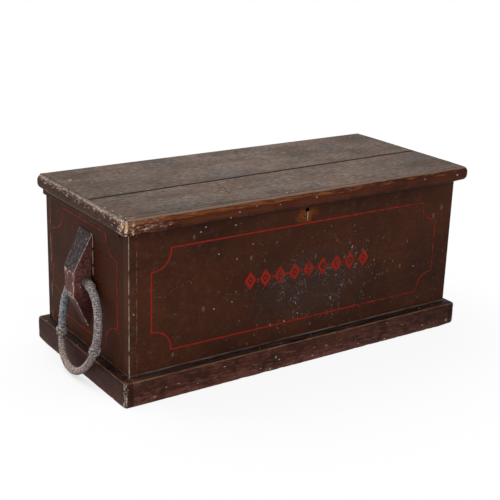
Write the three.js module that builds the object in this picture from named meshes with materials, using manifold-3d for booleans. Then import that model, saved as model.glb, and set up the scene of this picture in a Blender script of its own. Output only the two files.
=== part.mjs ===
// A painted pine sea chest: a nailed carcass on a mitred plinth, a two-board lid with a
// nailed edge moulding, a box lock behind the keyhole, strap hinges, an open till, and a
// rope becket through a wooden cleat at each end.
// Millimetres. X runs along the chest, the front faces -Y, Z is up, and the floor is z = 0.
// The origin is under the middle of the chest's overall box.

import * as THREE from 'three';
import { mergeVertices } from 'three/addons/utils/BufferGeometryUtils.js';
import Module from 'manifold-3d';

const wasm = await Module();
wasm.setup();

// ---- Sizes that can be set by themselves ----

// Carcass
const carcassLength = 920;
const carcassDepth = 406;
const carcassHeight = 399; // floor to rim
const boardThickness = 22;
const bottomThickness = 20;
const bottomBoardCount = 3;
const bottomBoardGap = 0.8; // pine shrinks across its width
const cornerRadius = 2.5; // worn vertical corners of the front and back boards

// Plinth
const plinthHeight = 60.5; // against the carcass
const plinthThickness = 22;
const plinthBevelDrop = 3.6; // its top edge slopes down to the outside
const plinthArris = 4.5;
const plinthFootArris = 1.5;
const plinthCornerRadius = 6;
const mitreGap = 0.5; // old mitres stand open a little

// Lid
const lidThickness = 21;
const lidOverhang = 14; // of the boards, past the front and the ends
const lidBackArris = 7;
const lidJointGap = 2.6;
const lidJointLeft = -49; // the joint runs slightly aslant, front to back place at each end
const lidJointRight = -31;
const mouldingThickness = 11;
const mouldingHeight = 33; // hangs past the boards and hides the rim
const mouldingTopArris = 9; // worn round
const mouldingFootArris = 3;
const mouldingCornerRadius = 8;
const battenThickness = 6; // strips under the lid's ends, outside the carcass
const battenDrop = 31;
const battenClearance = 1;
const battenSetback = 30; // stops short of the front
const battenArris = 3;

// Keyhole and lock
const keyholeRadius = 5;
const keyholeSlotWidth = 5;
const keyholeDrop = 28; // rim to the centre of the round hole
const keyholeSlotLength = 27; // centre of the round hole to the foot of the slot
const keyholeFootShare = 0.6; // rounding at the slot's foot, of half its width
const keyPinRadius = 1.8; // pin in the lock that the key's hollow barrel turns on
const lockWidth = 110;
const lockHeight = 72;
const lockDepth = 17;
const lockPlate = 2.5;
const boltThickness = 5.5;
const boltHeight = 6;
const boltDrop = 15; // rim to the middle of the bolt
const boltLength = 58;
const boltTravel = 12;
const boltTalonRadius = 2.2; // notch that the key catches
const guideWidth = 6; // bridges that the bolt slides in
const guideMargin = 4;
const loopPlace = 24; // along the front, from the keyhole
const loopThickness = 4;
const loopWall = 2.6;
const loopClearance = 1.1; // around the bolt in the loop
const loopSlotClearance = 1.6; // around the loop in the lock's top
const stapleLength = 64;
const stapleWidth = 22;
const staplePlate = 3;

// Hinges
const hingeSpacing = 580;
const strapWidth = 32;
const strapTipWidth = 22;
const strapTipShare = 0.9; // of half the tip's width, so the tip is nearly a half circle
const strapThickness = 3;
const strapLength = 290; // along the lid, across its joint
const leafLength = 130; // down the back board
const knuckleCount = 3;
const knuckleRadius = 5.5;
const pinRadius = 2.5;
const pinClearance = 0.3;
const knuckleGap = 0.4;
const hingeStandOff = 0.3; // of the barrel from the back board
const pinHead = 1.5; // the pin shows at each end of the barrel

// Till
const tillWidth = 140;
const tillHeight = 105;
const tillDrop = 12; // its side stands below the rim
const tillSideThickness = 12;
const tillBottomThickness = 10;
const housingDepth = 6;
const housingClearance = 0.3;

// Becket cleats
const cleatDrop = 61; // rim to the cleat's upper end
const cleatRise = 52.5; // plinth's top to the cleat's foot
const cleatProjection = 42;
const cleatLip = 3;
const cleatSlope = 82; // height of the upper slope
const cleatFace = 60; // height of the upright outer face
const cleatNose = 9; // rounding between the slopes and the face
const cleatTopWidth = 61;
const cleatFootWidth = 31;
const cleatTopPlace = -9.5; // the cleat is nailed on slightly askew
const cleatFootPlace = 2;
const boreDrop = 112; // cleat's top to the rope's hole
const boreInset = 12.5; // carcass end to the middle of the hole
const boreClearance = 0.5;

// Beckets
const ropeRadius = 9.25;
const ropeLean = THREE.MathUtils.degToRad(8); // the ring hangs clear of the plinth
const knotRadius = 12.6;
const knotLength = 21;
const knotGroove = 1.3;
const knotClearance = 0.3;
const knotShares = { shoulder: 0.86, ridge: 0.6, groove: 0.3 }; // of half the knot's length
const nearestSteps = 600; // places tried along the ring's line

// Fineness of curves
const arcSteps = 4;
const barrelSides = 24;
const ropeSteps = 66;
const ropeSides = 12;
const knotSides = 20;

const overrun = 5; // how far a cut runs past the face it opens

// The ring's line seen square on: along the chest's depth, then down from the hole.
const ropeRoute = [
  [-4, 0], [-18, 0], [-31, 0.2], [-47, 3.5], [-64, 13], [-80, 25], [-91, 39], [-99, 54],
  [-106, 76], [-108.5, 106], [-104, 133], [-93.5, 158], [-74, 182], [-53, 200], [-33, 210.5],
  [-9, 215], [17, 211], [39, 197.5], [51, 181], [57, 163], [60.5, 145], [63, 124],
  [64.5, 101], [63.5, 78], [58.5, 56], [50, 36], [40, 18], [31, 6.5], [22, 0.2], [10, 0],
];
const frontKnotPlace = [-103.6, 135]; // on that line, found from the photograph
const backKnotPlace = [60.2, 146];

// ---- Places that follow from the sizes ----

const halfLength = carcassLength / 2;
const halfDepth = carcassDepth / 2;
const innerHalfLength = halfLength - boardThickness;
const innerHalfDepth = halfDepth - boardThickness;
const lidTop = carcassHeight + lidThickness;
const lidHalfLength = halfLength + lidOverhang;
const lidFront = -halfDepth - lidOverhang;
const mouldingFoot = lidTop - mouldingHeight;
const frontReach = halfDepth + Math.max(lidOverhang + mouldingThickness, plinthThickness);
const backReach = halfDepth + plinthThickness;
const keyholeCentre = carcassHeight - keyholeDrop;
const boltCentreZ = carcassHeight - boltDrop;
const lockInnerDepth = lockDepth - lockPlate;
const boltCentreY = -innerHalfDepth + lockInnerDepth / 2;
const hingeAxisY = halfDepth + hingeStandOff + knuckleRadius;
const hingeAxisZ = carcassHeight;
const knuckleLength = strapWidth / knuckleCount;
const tillSideLeft = -innerHalfLength + tillWidth;
const tillTop = carcassHeight - tillDrop;
const tillFoot = tillTop - tillHeight;
const cleatTop = carcassHeight - cleatDrop;
const cleatFoot = plinthHeight + cleatRise;
const boreX = halfLength + boreInset;
const boreZ = cleatTop - boreDrop;

// ---- Shapes ----

// Rounds the corners of an outline. Each corner is [a, b] or [a, b, radius].
function roundedOutline(corners) {
  const points = [];
  corners.forEach(([a, b, radius = 0], index) => {
    const corner = new THREE.Vector2(a, b);
    if (radius === 0) {
      points.push(corner);
      return;
    }
    const before = corners[(index + corners.length - 1) % corners.length];
    const after = corners[(index + 1) % corners.length];
    const toBefore = new THREE.Vector2(before[0] - a, before[1] - b).normalize();
    const toAfter = new THREE.Vector2(after[0] - a, after[1] - b).normalize();
    const halfAngle = Math.acos(THREE.MathUtils.clamp(toBefore.dot(toAfter), -1, 1)) / 2;
    const middle = toBefore.clone().add(toAfter).normalize();
    const centre = corner.clone().addScaledVector(middle, radius / Math.sin(halfAngle));
    const setback = radius / Math.tan(halfAngle);
    const start = corner.clone().addScaledVector(toBefore, setback).sub(centre);
    const end = corner.clone().addScaledVector(toAfter, setback).sub(centre);
    const turn = Math.atan2(start.cross(end), start.dot(end));
    for (let step = 0; step <= arcSteps; step += 1) {
      const point = start.clone().rotateAround(new THREE.Vector2(), (turn * step) / arcSteps);
      points.push(point.add(centre));
    }
  });
  return points;
}

function extruded(points, from, to, basis) {
  const shape = new THREE.Shape(points);
  const geometry = new THREE.ExtrudeGeometry(shape, { depth: to - from, bevelEnabled: false });
  geometry.translate(0, 0, from);
  return geometry.applyMatrix4(basis);
}

const alongX = new THREE.Matrix4().makeBasis(
  new THREE.Vector3(0, 1, 0), new THREE.Vector3(0, 0, 1), new THREE.Vector3(1, 0, 0),
);
const alongY = new THREE.Matrix4().makeBasis(
  new THREE.Vector3(0, 0, 1), new THREE.Vector3(1, 0, 0), new THREE.Vector3(0, 1, 0),
);
const alongZ = new THREE.Matrix4();

// An outline of [y, z] corners carried along X.
function runAlongX(corners, from, to) {
  return toSolid(extruded(roundedOutline(corners), from, to, alongX));
}

// An outline of [x, z] corners carried along Y.
function runAlongY(corners, from, to) {
  const points = roundedOutline(corners).map((point) => new THREE.Vector2(point.y, point.x));
  return toSolid(extruded(points, from, to, alongY));
}

// An outline of [x, y] corners carried up Z.
function runAlongZ(corners, from, to) {
  return toSolid(extruded(roundedOutline(corners), from, to, alongZ));
}

function block(x0, x1, y0, y1, z0, z1) {
  const geometry = new THREE.BoxGeometry(x1 - x0, y1 - y0, z1 - z0);
  geometry.translate((x0 + x1) / 2, (y0 + y1) / 2, (z0 + z1) / 2);
  return toSolid(geometry);
}

function barrelAlongX(radius, from, to, y, z) {
  const geometry = new THREE.CylinderGeometry(radius, radius, to - from, barrelSides);
  geometry.rotateZ(Math.PI / 2);
  geometry.translate((from + to) / 2, y, z);
  return toSolid(geometry);
}

function barrelAlongY(radius, from, to, x, z) {
  const geometry = new THREE.CylinderGeometry(radius, radius, to - from, barrelSides);
  geometry.translate(x, (from + to) / 2, z);
  return toSolid(geometry);
}

function toSolid(geometry) {
  const bare = new THREE.BufferGeometry();
  bare.setAttribute('position', geometry.getAttribute('position'));
  if (geometry.index) bare.setIndex(geometry.index);
  const merged = mergeVertices(bare);
  const vertProperties = new Float32Array(merged.getAttribute('position').array);
  const triVerts = new Uint32Array(merged.index.array);
  return new wasm.Manifold(new wasm.Mesh({ numProp: 3, vertProperties, triVerts }));
}

function toGeometry(solid) {
  const mesh = solid.getMesh();
  const geometry = new THREE.BufferGeometry();
  geometry.setAttribute('position', new THREE.BufferAttribute(mesh.vertProperties, 3));
  geometry.setIndex(new THREE.BufferAttribute(mesh.triVerts, 1));
  geometry.computeVertexNormals();
  return geometry;
}

// ---- Materials ----

const finishes = {
  brownPaint: { color: 0x3c281e, roughness: 0.62, metalness: 0 },
  lidPaint: { color: 0x675a52, roughness: 0.7, metalness: 0 },
  wornMoulding: { color: 0x5a4030, roughness: 0.68, metalness: 0 },
  bareDeal: { color: 0xa98a63, roughness: 0.8, metalness: 0 },
  cleatPaint: { color: 0x45383c, roughness: 0.6, metalness: 0 },
  blackIron: { color: 0x35322f, roughness: 0.55, metalness: 0.9 },
  ropeCanvas: { color: 0x7d7068, roughness: 0.9, metalness: 0 },
  knotLine: { color: 0x8a7a6c, roughness: 0.9, metalness: 0 },
};

const chest = new THREE.Group();

function addPiece(name, solid, finish) {
  const material = new THREE.MeshStandardMaterial(finishes[finish]);
  const mesh = new THREE.Mesh(toGeometry(solid), material);
  mesh.name = name;
  chest.add(mesh);
}

// ---- Carcass ----

// A front or back board, with its outer vertical corners worn round. side is -1 in front.
function longBoard(side) {
  const outer = side * halfDepth;
  const inner = side * innerHalfDepth;
  const corners = [
    [-halfLength, inner],
    [-halfLength, outer, cornerRadius],
    [halfLength, outer, cornerRadius],
    [halfLength, inner],
  ];
  const board = runAlongZ(corners, bottomThickness, carcassHeight);
  return board.subtract(tillHousing(side));
}

// The L-shaped housing for the till's side, which slides in from the rim, and its bottom.
function tillHousing(side) {
  const mouth = side * (innerHalfDepth - overrun);
  const end = side * (innerHalfDepth + housingDepth);
  const y0 = Math.min(mouth, end);
  const y1 = Math.max(mouth, end);
  const left = tillSideLeft - housingClearance;
  const right = tillSideLeft + tillSideThickness + housingClearance;
  const foot = tillFoot - housingClearance;
  const ledge = tillFoot + tillBottomThickness + housingClearance;
  const upright = block(left, right, y0, y1, foot, carcassHeight + overrun);
  const level = block(-innerHalfLength, right, y0, y1, foot, ledge);
  return upright.add(level);
}

function keyholeCut() {
  const front = -halfDepth - overrun;
  const back = -innerHalfDepth + overrun;
  const halfSlot = keyholeSlotWidth / 2;
  const slotFoot = keyholeCentre - keyholeSlotLength;
  const corners = [
    [-halfSlot, keyholeCentre],
    [halfSlot, keyholeCentre],
    [halfSlot, slotFoot, halfSlot * keyholeFootShare],
    [-halfSlot, slotFoot, halfSlot * keyholeFootShare],
  ];
  const slot = runAlongY(corners, front, back);
  return barrelAlongY(keyholeRadius, front, back, 0, keyholeCentre).add(slot);
}

function addCarcass() {
  addPiece('front_board', longBoard(-1).subtract(keyholeCut()), 'brownPaint');
  addPiece('back_board', longBoard(1), 'brownPaint');
  [['left', -1], ['right', 1]].forEach(([word, side]) => {
    const inner = side * innerHalfLength;
    const outer = side * halfLength;
    const x0 = Math.min(inner, outer);
    const x1 = Math.max(inner, outer);
    const board = block(x0, x1, -innerHalfDepth, innerHalfDepth, bottomThickness, carcassHeight);
    addPiece(`${word}_end_board`, board, 'brownPaint');
  });
}

function addBottom() {
  const pitch = carcassDepth / bottomBoardCount;
  for (let index = 0; index < bottomBoardCount; index += 1) {
    const y0 = -halfDepth + pitch * index + (index === 0 ? 0 : bottomBoardGap / 2);
    const last = index === bottomBoardCount - 1;
    const y1 = -halfDepth + pitch * (index + 1) - (last ? 0 : bottomBoardGap / 2);
    const board = block(-halfLength, halfLength, y0, y1, 0, bottomThickness);
    addPiece(`bottom_board_${index + 1}`, board, 'bareDeal');
  }
}

// ---- Plinth and moulding runs ----

// A mitred run along a box's front or back. outline gives the run's section as [out, z]
// corners, where out is the distance from the box's face. side is -1 in front.
function longRun(side, outline, halfX, faceY, thickness, radius) {
  const section = outline.map(([out, z, arris]) => [side * (faceY + out), z, arris]);
  const run = runAlongX(section, -halfX - thickness, halfX + thickness);
  const outer = side * (faceY + thickness);
  const inner = side * (faceY - overrun);
  const rounded = [
    [-halfX - thickness, inner],
    [-halfX - thickness, outer, radius],
    [halfX + thickness, outer, radius],
    [halfX + thickness, inner],
  ];
  const shift = mitreGap * Math.SQRT1_2;
  const reach = thickness + overrun;
  const mitred = [
    [-halfX + shift, side * faceY],
    [-halfX - reach + shift, side * (faceY + reach)],
    [halfX + reach - shift, side * (faceY + reach)],
    [halfX - shift, side * faceY],
  ];
  return cutToPlan(run, outline, rounded, mitred);
}

// An end run, from the front mitre to a square or a mitred back end. side is -1 on the left.
function endRun(side, outline, halfX, frontY, backY, thickness, radius, mitredBack) {
  const section = outline.map(([out, z, arris]) => [side * (halfX + out), z, arris]);
  const tail = mitredBack ? thickness : 0;
  const run = runAlongY(section, frontY - thickness, backY + tail);
  const outer = side * (halfX + thickness);
  const inner = side * (halfX - overrun);
  const rounded = [
    [inner, frontY - thickness],
    [outer, frontY - thickness, radius],
    [outer, backY + tail, mitredBack ? radius : 0],
    [inner, backY + tail],
  ];
  const shift = mitreGap * Math.SQRT1_2;
  const reach = thickness + overrun;
  const mitred = [
    [side * halfX, frontY + shift],
    [side * (halfX + reach), frontY - reach + shift],
    [side * (halfX + reach), mitredBack ? backY + reach - shift : backY],
    [side * halfX, mitredBack ? backY - shift : backY],
  ];
  return cutToPlan(run, outline, rounded, mitred);
}

// Keeps what lies inside both plans.
function cutToPlan(run, outline, rounded, mitred) {
  const heights = outline.map((corner) => corner[1]);
  const from = Math.min(...heights) - overrun;
  const to = Math.max(...heights) + overrun;
  return run.intersect(runAlongZ(rounded, from, to)).intersect(runAlongZ(mitred, from, to));
}

function addPlinth() {
  const outline = [
    [0, 0],
    [plinthThickness, 0, plinthFootArris],
    [plinthThickness, plinthHeight - plinthBevelDrop, plinthArris],
    [0, plinthHeight],
  ];
  [['front', -1], ['back', 1]].forEach(([word, side]) => {
    const run = longRun(
      side, outline, halfLength, halfDepth, plinthThickness, plinthCornerRadius,
    );
    addPiece(`plinth_${word}`, run, 'brownPaint');
  });
  [['left', -1], ['right', 1]].forEach(([word, side]) => {
    const run = endRun(
      side, outline, halfLength, -halfDepth, halfDepth,
      plinthThickness, plinthCornerRadius, true,
    );
    addPiece(`plinth_${word}`, run, 'brownPaint');
  });
}

// ---- Lid ----

function lidBoard(planCorners) {
  const profile = [
    [lidFront, carcassHeight],
    [halfDepth, carcassHeight],
    [halfDepth, lidTop, lidBackArris],
    [lidFront, lidTop],
  ];
  const whole = runAlongX(profile, -lidHalfLength, lidHalfLength);
  const plan = runAlongZ(planCorners, carcassHeight - overrun, lidTop + overrun);
  return whole.intersect(plan).subtract(strapPockets());
}

function addLidBoards() {
  const halfGap = lidJointGap / 2;
  const front = [
    [-lidHalfLength, lidFront],
    [lidHalfLength, lidFront],
    [lidHalfLength, lidJointRight - halfGap],
    [-lidHalfLength, lidJointLeft - halfGap],
  ];
  const back = [
    [-lidHalfLength, lidJointLeft + halfGap],
    [lidHalfLength, lidJointRight + halfGap],
    [lidHalfLength, halfDepth],
    [-lidHalfLength, halfDepth],
  ];
  addPiece('lid_front_board', lidBoard(front).subtract(staplePocket()), 'lidPaint');
  addPiece('lid_back_board', lidBoard(back), 'lidPaint');
}

function addLidMouldings() {
  const outline = [
    [0, mouldingFoot],
    [mouldingThickness, mouldingFoot, mouldingFootArris],
    [mouldingThickness, lidTop, mouldingTopArris],
    [0, lidTop],
  ];
  const front = longRun(
    -1, outline, lidHalfLength, -lidFront, mouldingThickness, mouldingCornerRadius,
  );
  addPiece('lid_moulding_front', front, 'wornMoulding');
  [['left', -1], ['right', 1]].forEach(([word, side]) => {
    const run = endRun(
      side, outline, lidHalfLength, lidFront, halfDepth,
      mouldingThickness, mouldingCornerRadius, false,
    );
    addPiece(`lid_moulding_${word}`, run, 'wornMoulding');
  });
}

function addLidBattens() {
  [['left', -1], ['right', 1]].forEach(([word, side]) => {
    const inner = side * (halfLength + battenClearance);
    const outer = side * (halfLength + battenClearance + battenThickness);
    const foot = carcassHeight - battenDrop;
    const section = [
      [inner, carcassHeight],
      [outer, carcassHeight],
      [outer, foot, battenArris],
      [inner, foot],
    ];
    const batten = runAlongY(section, -halfDepth + battenSetback, halfDepth);
    addPiece(`lid_batten_${word}`, batten, 'brownPaint');
  });
}

// ---- Hinges ----

const hingePlaces = [['left', -hingeSpacing / 2], ['right', hingeSpacing / 2]];

// The strap's outline on the lid's underside, tapering to a round tip.
function strapPlan(x, margin) {
  const wide = strapWidth / 2 + margin;
  const narrow = strapTipWidth / 2 + margin;
  const tip = halfDepth - strapLength - margin;
  const heel = halfDepth + overrun;
  return [
    [x - wide, heel],
    [x + wide, heel],
    [x + narrow, tip, narrow * strapTipShare],
    [x - narrow, tip, narrow * strapTipShare],
  ];
}

function strapPockets() {
  const top = carcassHeight + strapThickness;
  const [first, second] = hingePlaces.map(([, x]) => (
    runAlongZ(strapPlan(x, housingClearance), carcassHeight - overrun, top)
  ));
  return first.add(second);
}

function hingeStrap(x) {
  const top = carcassHeight + strapThickness;
  const plan = runAlongZ(strapPlan(x, 0), carcassHeight, top);
  const behind = block(
    x - strapWidth, x + strapWidth, halfDepth - 2 * hingeStandOff, hingeAxisY + overrun,
    carcassHeight - overrun, top + overrun,
  );
  const halfKnuckle = (knuckleLength - knuckleGap) / 2;
  const tongue = block(
    x - halfKnuckle, x + halfKnuckle, halfDepth - overrun, hingeAxisY, carcassHeight, top,
  );
  const knuckle = barrelAlongX(
    knuckleRadius, x - halfKnuckle, x + halfKnuckle, hingeAxisY, hingeAxisZ,
  );
  return plan.subtract(behind).add(tongue).add(knuckle).subtract(pinHole(x));
}

function hingeLeaf(x) {
  const inner = (knuckleLength + knuckleGap) / 2;
  const face = halfDepth + strapThickness;
  const foot = carcassHeight - leafLength;
  const corners = [
    [x - strapWidth / 2, hingeAxisZ],
    [x + strapWidth / 2, hingeAxisZ],
    [x + strapTipWidth / 2, foot, (strapTipWidth / 2) * strapTipShare],
    [x - strapTipWidth / 2, foot, (strapTipWidth / 2) * strapTipShare],
  ];
  const plate = runAlongY(corners, halfDepth, face);
  const relief = block(
    x - inner, x + inner, halfDepth - overrun, face + overrun,
    hingeAxisZ - knuckleRadius - 2 * knuckleGap, hingeAxisZ + overrun,
  );
  const knuckles = [-1, 1].map((side) => {
    const near = x + side * inner;
    const far = x + (side * strapWidth) / 2;
    return barrelAlongX(
      knuckleRadius, Math.min(near, far), Math.max(near, far), hingeAxisY, hingeAxisZ,
    );
  });
  return plate.subtract(relief).add(knuckles[0]).add(knuckles[1]).subtract(pinHole(x));
}

function pinHole(x) {
  const reach = strapWidth / 2 + overrun;
  return barrelAlongX(pinRadius + pinClearance, x - reach, x + reach, hingeAxisY, hingeAxisZ);
}

function hingePin(x) {
  const reach = strapWidth / 2 + pinHead;
  return barrelAlongX(pinRadius, x - reach, x + reach, hingeAxisY, hingeAxisZ);
}

function addHinges() {
  hingePlaces.forEach(([word, x]) => {
    addPiece(`hinge_strap_${word}`, hingeStrap(x), 'blackIron');
    addPiece(`hinge_leaf_${word}`, hingeLeaf(x), 'blackIron');
    addPiece(`hinge_pin_${word}`, hingePin(x), 'blackIron');
  });
}

// ---- Lock ----

const loopOuterHalf = boltThickness / 2 + loopClearance + loopWall;
const loopFoot = boltCentreZ - boltHeight / 2 - loopClearance - loopWall;
const boltEnd = loopPlace - loopThickness / 2 - loopClearance * 2;

function lockCase() {
  const half = lockWidth / 2;
  const foot = carcassHeight - lockHeight;
  const back = -innerHalfDepth + lockDepth;
  const shell = block(-half, half, -innerHalfDepth, back, foot, carcassHeight);
  const hollow = block(
    -half + lockPlate, half - lockPlate, -innerHalfDepth - overrun, back - lockPlate,
    foot + lockPlate, carcassHeight - lockPlate,
  );
  const slot = block(
    loopPlace - loopThickness / 2 - loopSlotClearance,
    loopPlace + loopThickness / 2 + loopSlotClearance,
    boltCentreY - loopOuterHalf - loopClearance,
    boltCentreY + loopOuterHalf + loopClearance,
    carcassHeight - lockPlate - overrun, carcassHeight + overrun,
  );
  return shell.subtract(hollow).subtract(slot).add(boltGuides()).add(keyPin());
}

function keyPin() {
  const back = -innerHalfDepth + lockDepth - lockPlate / 2;
  return barrelAlongY(keyPinRadius, -innerHalfDepth, back, 0, keyholeCentre);
}

function boltGuides() {
  const bolt = boltBar(housingClearance, 0);
  const halfTall = boltHeight / 2 + guideMargin;
  const near = boltEnd - boltLength + guideMargin;
  const far = boltEnd - guideMargin - guideWidth;
  const [first, second] = [near, far].map((x) => block(
    x, x + guideWidth, boltCentreY - boltThickness / 2 - loopWall,
    -innerHalfDepth + lockInnerDepth + lockPlate / 2,
    boltCentreZ - halfTall, boltCentreZ + halfTall,
  ));
  return first.add(second).subtract(bolt);
}

function boltBar(margin, travel) {
  return block(
    boltEnd - boltLength - margin + travel, boltEnd + margin + travel,
    boltCentreY - boltThickness / 2 - margin, boltCentreY + boltThickness / 2 + margin,
    boltCentreZ - boltHeight / 2 - margin, boltCentreZ + boltHeight / 2 + margin,
  );
}

function lockBolt() {
  const talon = barrelAlongY(
    boltTalonRadius, boltCentreY - boltThickness, boltCentreY + boltThickness,
    -boltTravel / 2, boltCentreZ - boltHeight / 2,
  );
  return boltBar(0, 0).subtract(talon);
}

function stapleOutline(margin) {
  const half = stapleLength / 2 + margin;
  const y0 = boltCentreY - stapleWidth / 2 - margin;
  const y1 = boltCentreY + stapleWidth / 2 + margin;
  return [[-half, y0], [half, y0], [half, y1], [-half, y1]];
}

function staplePocket() {
  const top = carcassHeight + staplePlate;
  return runAlongZ(stapleOutline(housingClearance), carcassHeight - overrun, top);
}

// The plate let into the lid, with the loop that the bolt shoots through.
function lockStaple() {
  const plate = runAlongZ(stapleOutline(0), carcassHeight, carcassHeight + staplePlate);
  const loop = block(
    loopPlace - loopThickness / 2, loopPlace + loopThickness / 2,
    boltCentreY - loopOuterHalf, boltCentreY + loopOuterHalf,
    loopFoot, carcassHeight + staplePlate / 2,
  );
  const eye = boltBar(loopClearance, boltTravel);
  return plate.add(loop).subtract(eye);
}

function addLock() {
  addPiece('lock_case', lockCase(), 'blackIron');
  addPiece('lock_bolt', lockBolt(), 'blackIron');
  addPiece('lock_staple', lockStaple(), 'blackIron');
}

// ---- Till ----

function addTill() {
  const reach = innerHalfDepth + housingDepth - housingClearance;
  const right = tillSideLeft + tillSideThickness;
  const side = block(tillSideLeft, right, -reach, reach, tillFoot, tillTop);
  const top = tillFoot + tillBottomThickness;
  const bottom = block(-innerHalfLength, tillSideLeft, -reach, reach, tillFoot, top);
  addPiece('till_side', side, 'bareDeal');
  addPiece('till_bottom', bottom, 'bareDeal');
}

// ---- Cleats and beckets ----

function cleat(side) {
  const face = side * halfLength;
  const out = (distance) => side * (halfLength + distance);
  const profile = [
    [face, cleatTop],
    [out(cleatLip), cleatTop],
    [out(cleatProjection), cleatTop - cleatSlope, cleatNose],
    [out(cleatProjection), cleatTop - cleatSlope - cleatFace, cleatNose],
    [out(cleatLip), cleatFoot],
    [face, cleatFoot],
  ];
  const outline = [
    [cleatTopPlace + cleatTopWidth / 2, cleatTop],
    [cleatTopPlace - cleatTopWidth / 2, cleatTop],
    [cleatFootPlace - cleatFootWidth / 2, cleatFoot],
    [cleatFootPlace + cleatFootWidth / 2, cleatFoot],
  ];
  const x0 = Math.min(face, out(cleatProjection + overrun));
  const x1 = Math.max(face, out(cleatProjection + overrun));
  const upright = runAlongX(outline, x0, x1);
  const body = runAlongY(profile, -cleatTopWidth, cleatTopWidth).intersect(upright);
  const hole = barrelAlongY(
    ropeRadius + boreClearance, -cleatTopWidth, cleatTopWidth, side * boreX, boreZ,
  );
  return body.subtract(hole);
}

// The closed line of the ring, in the leaning plane it hangs in.
function ropeLine(side) {
  const down = ropeDown(side);
  const points = ropeRoute.map(([along, drop]) => ropePoint(side, along, drop, down));
  return new THREE.CatmullRomCurve3(points, true, 'centripetal');
}

function ropeDown(side) {
  return new THREE.Vector3(side * Math.sin(ropeLean), 0, -Math.cos(ropeLean));
}

function ropePoint(side, along, drop, down) {
  return new THREE.Vector3(side * boreX, along, boreZ).addScaledVector(down, drop);
}

// A closed tube about a closed flat line, whose plane has the given normal.
function ringTube(line, normal, radius) {
  const positions = [];
  for (let step = 0; step < ropeSteps; step += 1) {
    const share = step / ropeSteps;
    const centre = line.getPointAt(share);
    const across = new THREE.Vector3().crossVectors(line.getTangentAt(share), normal);
    across.normalize();
    for (let turn = 0; turn < ropeSides; turn += 1) {
      const angle = (2 * Math.PI * turn) / ropeSides;
      const point = centre.clone();
      point.addScaledVector(normal, radius * Math.cos(angle));
      point.addScaledVector(across, radius * Math.sin(angle));
      positions.push(point.x, point.y, point.z);
    }
  }
  const indices = [];
  for (let step = 0; step < ropeSteps; step += 1) {
    const next = (step + 1) % ropeSteps;
    for (let turn = 0; turn < ropeSides; turn += 1) {
      const beside = (turn + 1) % ropeSides;
      const [a, b] = [step * ropeSides + turn, step * ropeSides + beside];
      const [c, d] = [next * ropeSides + turn, next * ropeSides + beside];
      indices.push(a, b, c, b, d, c);
    }
  }
  const geometry = new THREE.BufferGeometry();
  geometry.setAttribute('position', new THREE.Float32BufferAttribute(positions, 3));
  geometry.setIndex(indices);
  return toSolid(geometry);
}

// A three-bight collar worked round the rope, with a groove on each side of its middle.
function knot(side, place, line, tube) {
  const half = knotLength / 2;
  const waist = knotRadius - knotGroove;
  const profile = [
    [ropeRadius / 2, -half],
    [ropeRadius + knotClearance, -half],
    [waist, -half * knotShares.shoulder],
    [knotRadius, -half * knotShares.ridge],
    [waist, -half * knotShares.groove],
    [knotRadius, 0],
    [waist, half * knotShares.groove],
    [knotRadius, half * knotShares.ridge],
    [waist, half * knotShares.shoulder],
    [ropeRadius + knotClearance, half],
    [ropeRadius / 2, half],
  ].map(([radius, height]) => new THREE.Vector2(radius, height));
  profile.push(profile[0].clone());
  const geometry = new THREE.LatheGeometry(profile, knotSides);
  const share = nearestShare(line, ropePoint(side, place[0], place[1], ropeDown(side)));
  const up = new THREE.Vector3(0, 1, 0);
  const turn = new THREE.Quaternion().setFromUnitVectors(up, line.getTangentAt(share));
  geometry.applyQuaternion(turn);
  const centre = line.getPointAt(share);
  geometry.translate(centre.x, centre.y, centre.z);
  return toSolid(geometry).subtract(tube);
}

function nearestShare(line, target) {
  let best = 0;
  for (let step = 0; step < nearestSteps; step += 1) {
    const share = step / nearestSteps;
    const nearer = line.getPointAt(share).distanceTo(target);
    if (nearer < line.getPointAt(best).distanceTo(target)) best = share;
  }
  return best;
}

function addBeckets() {
  [['left', -1], ['right', 1]].forEach(([word, side]) => {
    const line = ropeLine(side);
    const down = ropeDown(side);
    const normal = new THREE.Vector3().crossVectors(new THREE.Vector3(0, 1, 0), down);
    const clear = ringTube(line, normal, ropeRadius + knotClearance);
    addPiece(`cleat_${word}`, cleat(side), 'cleatPaint');
    addPiece(`becket_${word}`, ringTube(line, normal, ropeRadius), 'ropeCanvas');
    addPiece(`knot_${word}_front`, knot(side, frontKnotPlace, line, clear), 'knotLine');
    addPiece(`knot_${word}_back`, knot(side, backKnotPlace, line, clear), 'knotLine');
  });
}

addCarcass();
addBottom();
addPlinth();
addTill();
addLock();
addLidBoards();
addLidMouldings();
addLidBattens();
addHinges();
addBeckets();

// The origin lies under the middle of the overall box, lid and plinth taken together.
const group = new THREE.Group();
chest.position.y = (frontReach - backReach) / 2;
group.add(chest);
group.updateMatrixWorld(true);

export default group;
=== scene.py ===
from functools import partial
from math import asin, atan2, cos, exp, hypot, pi, radians, sin, sqrt

import bmesh
import bpy
import numpy as np
from mathutils import Matrix, Vector, noise
from mathutils.bvhtree import BVHTree


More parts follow.
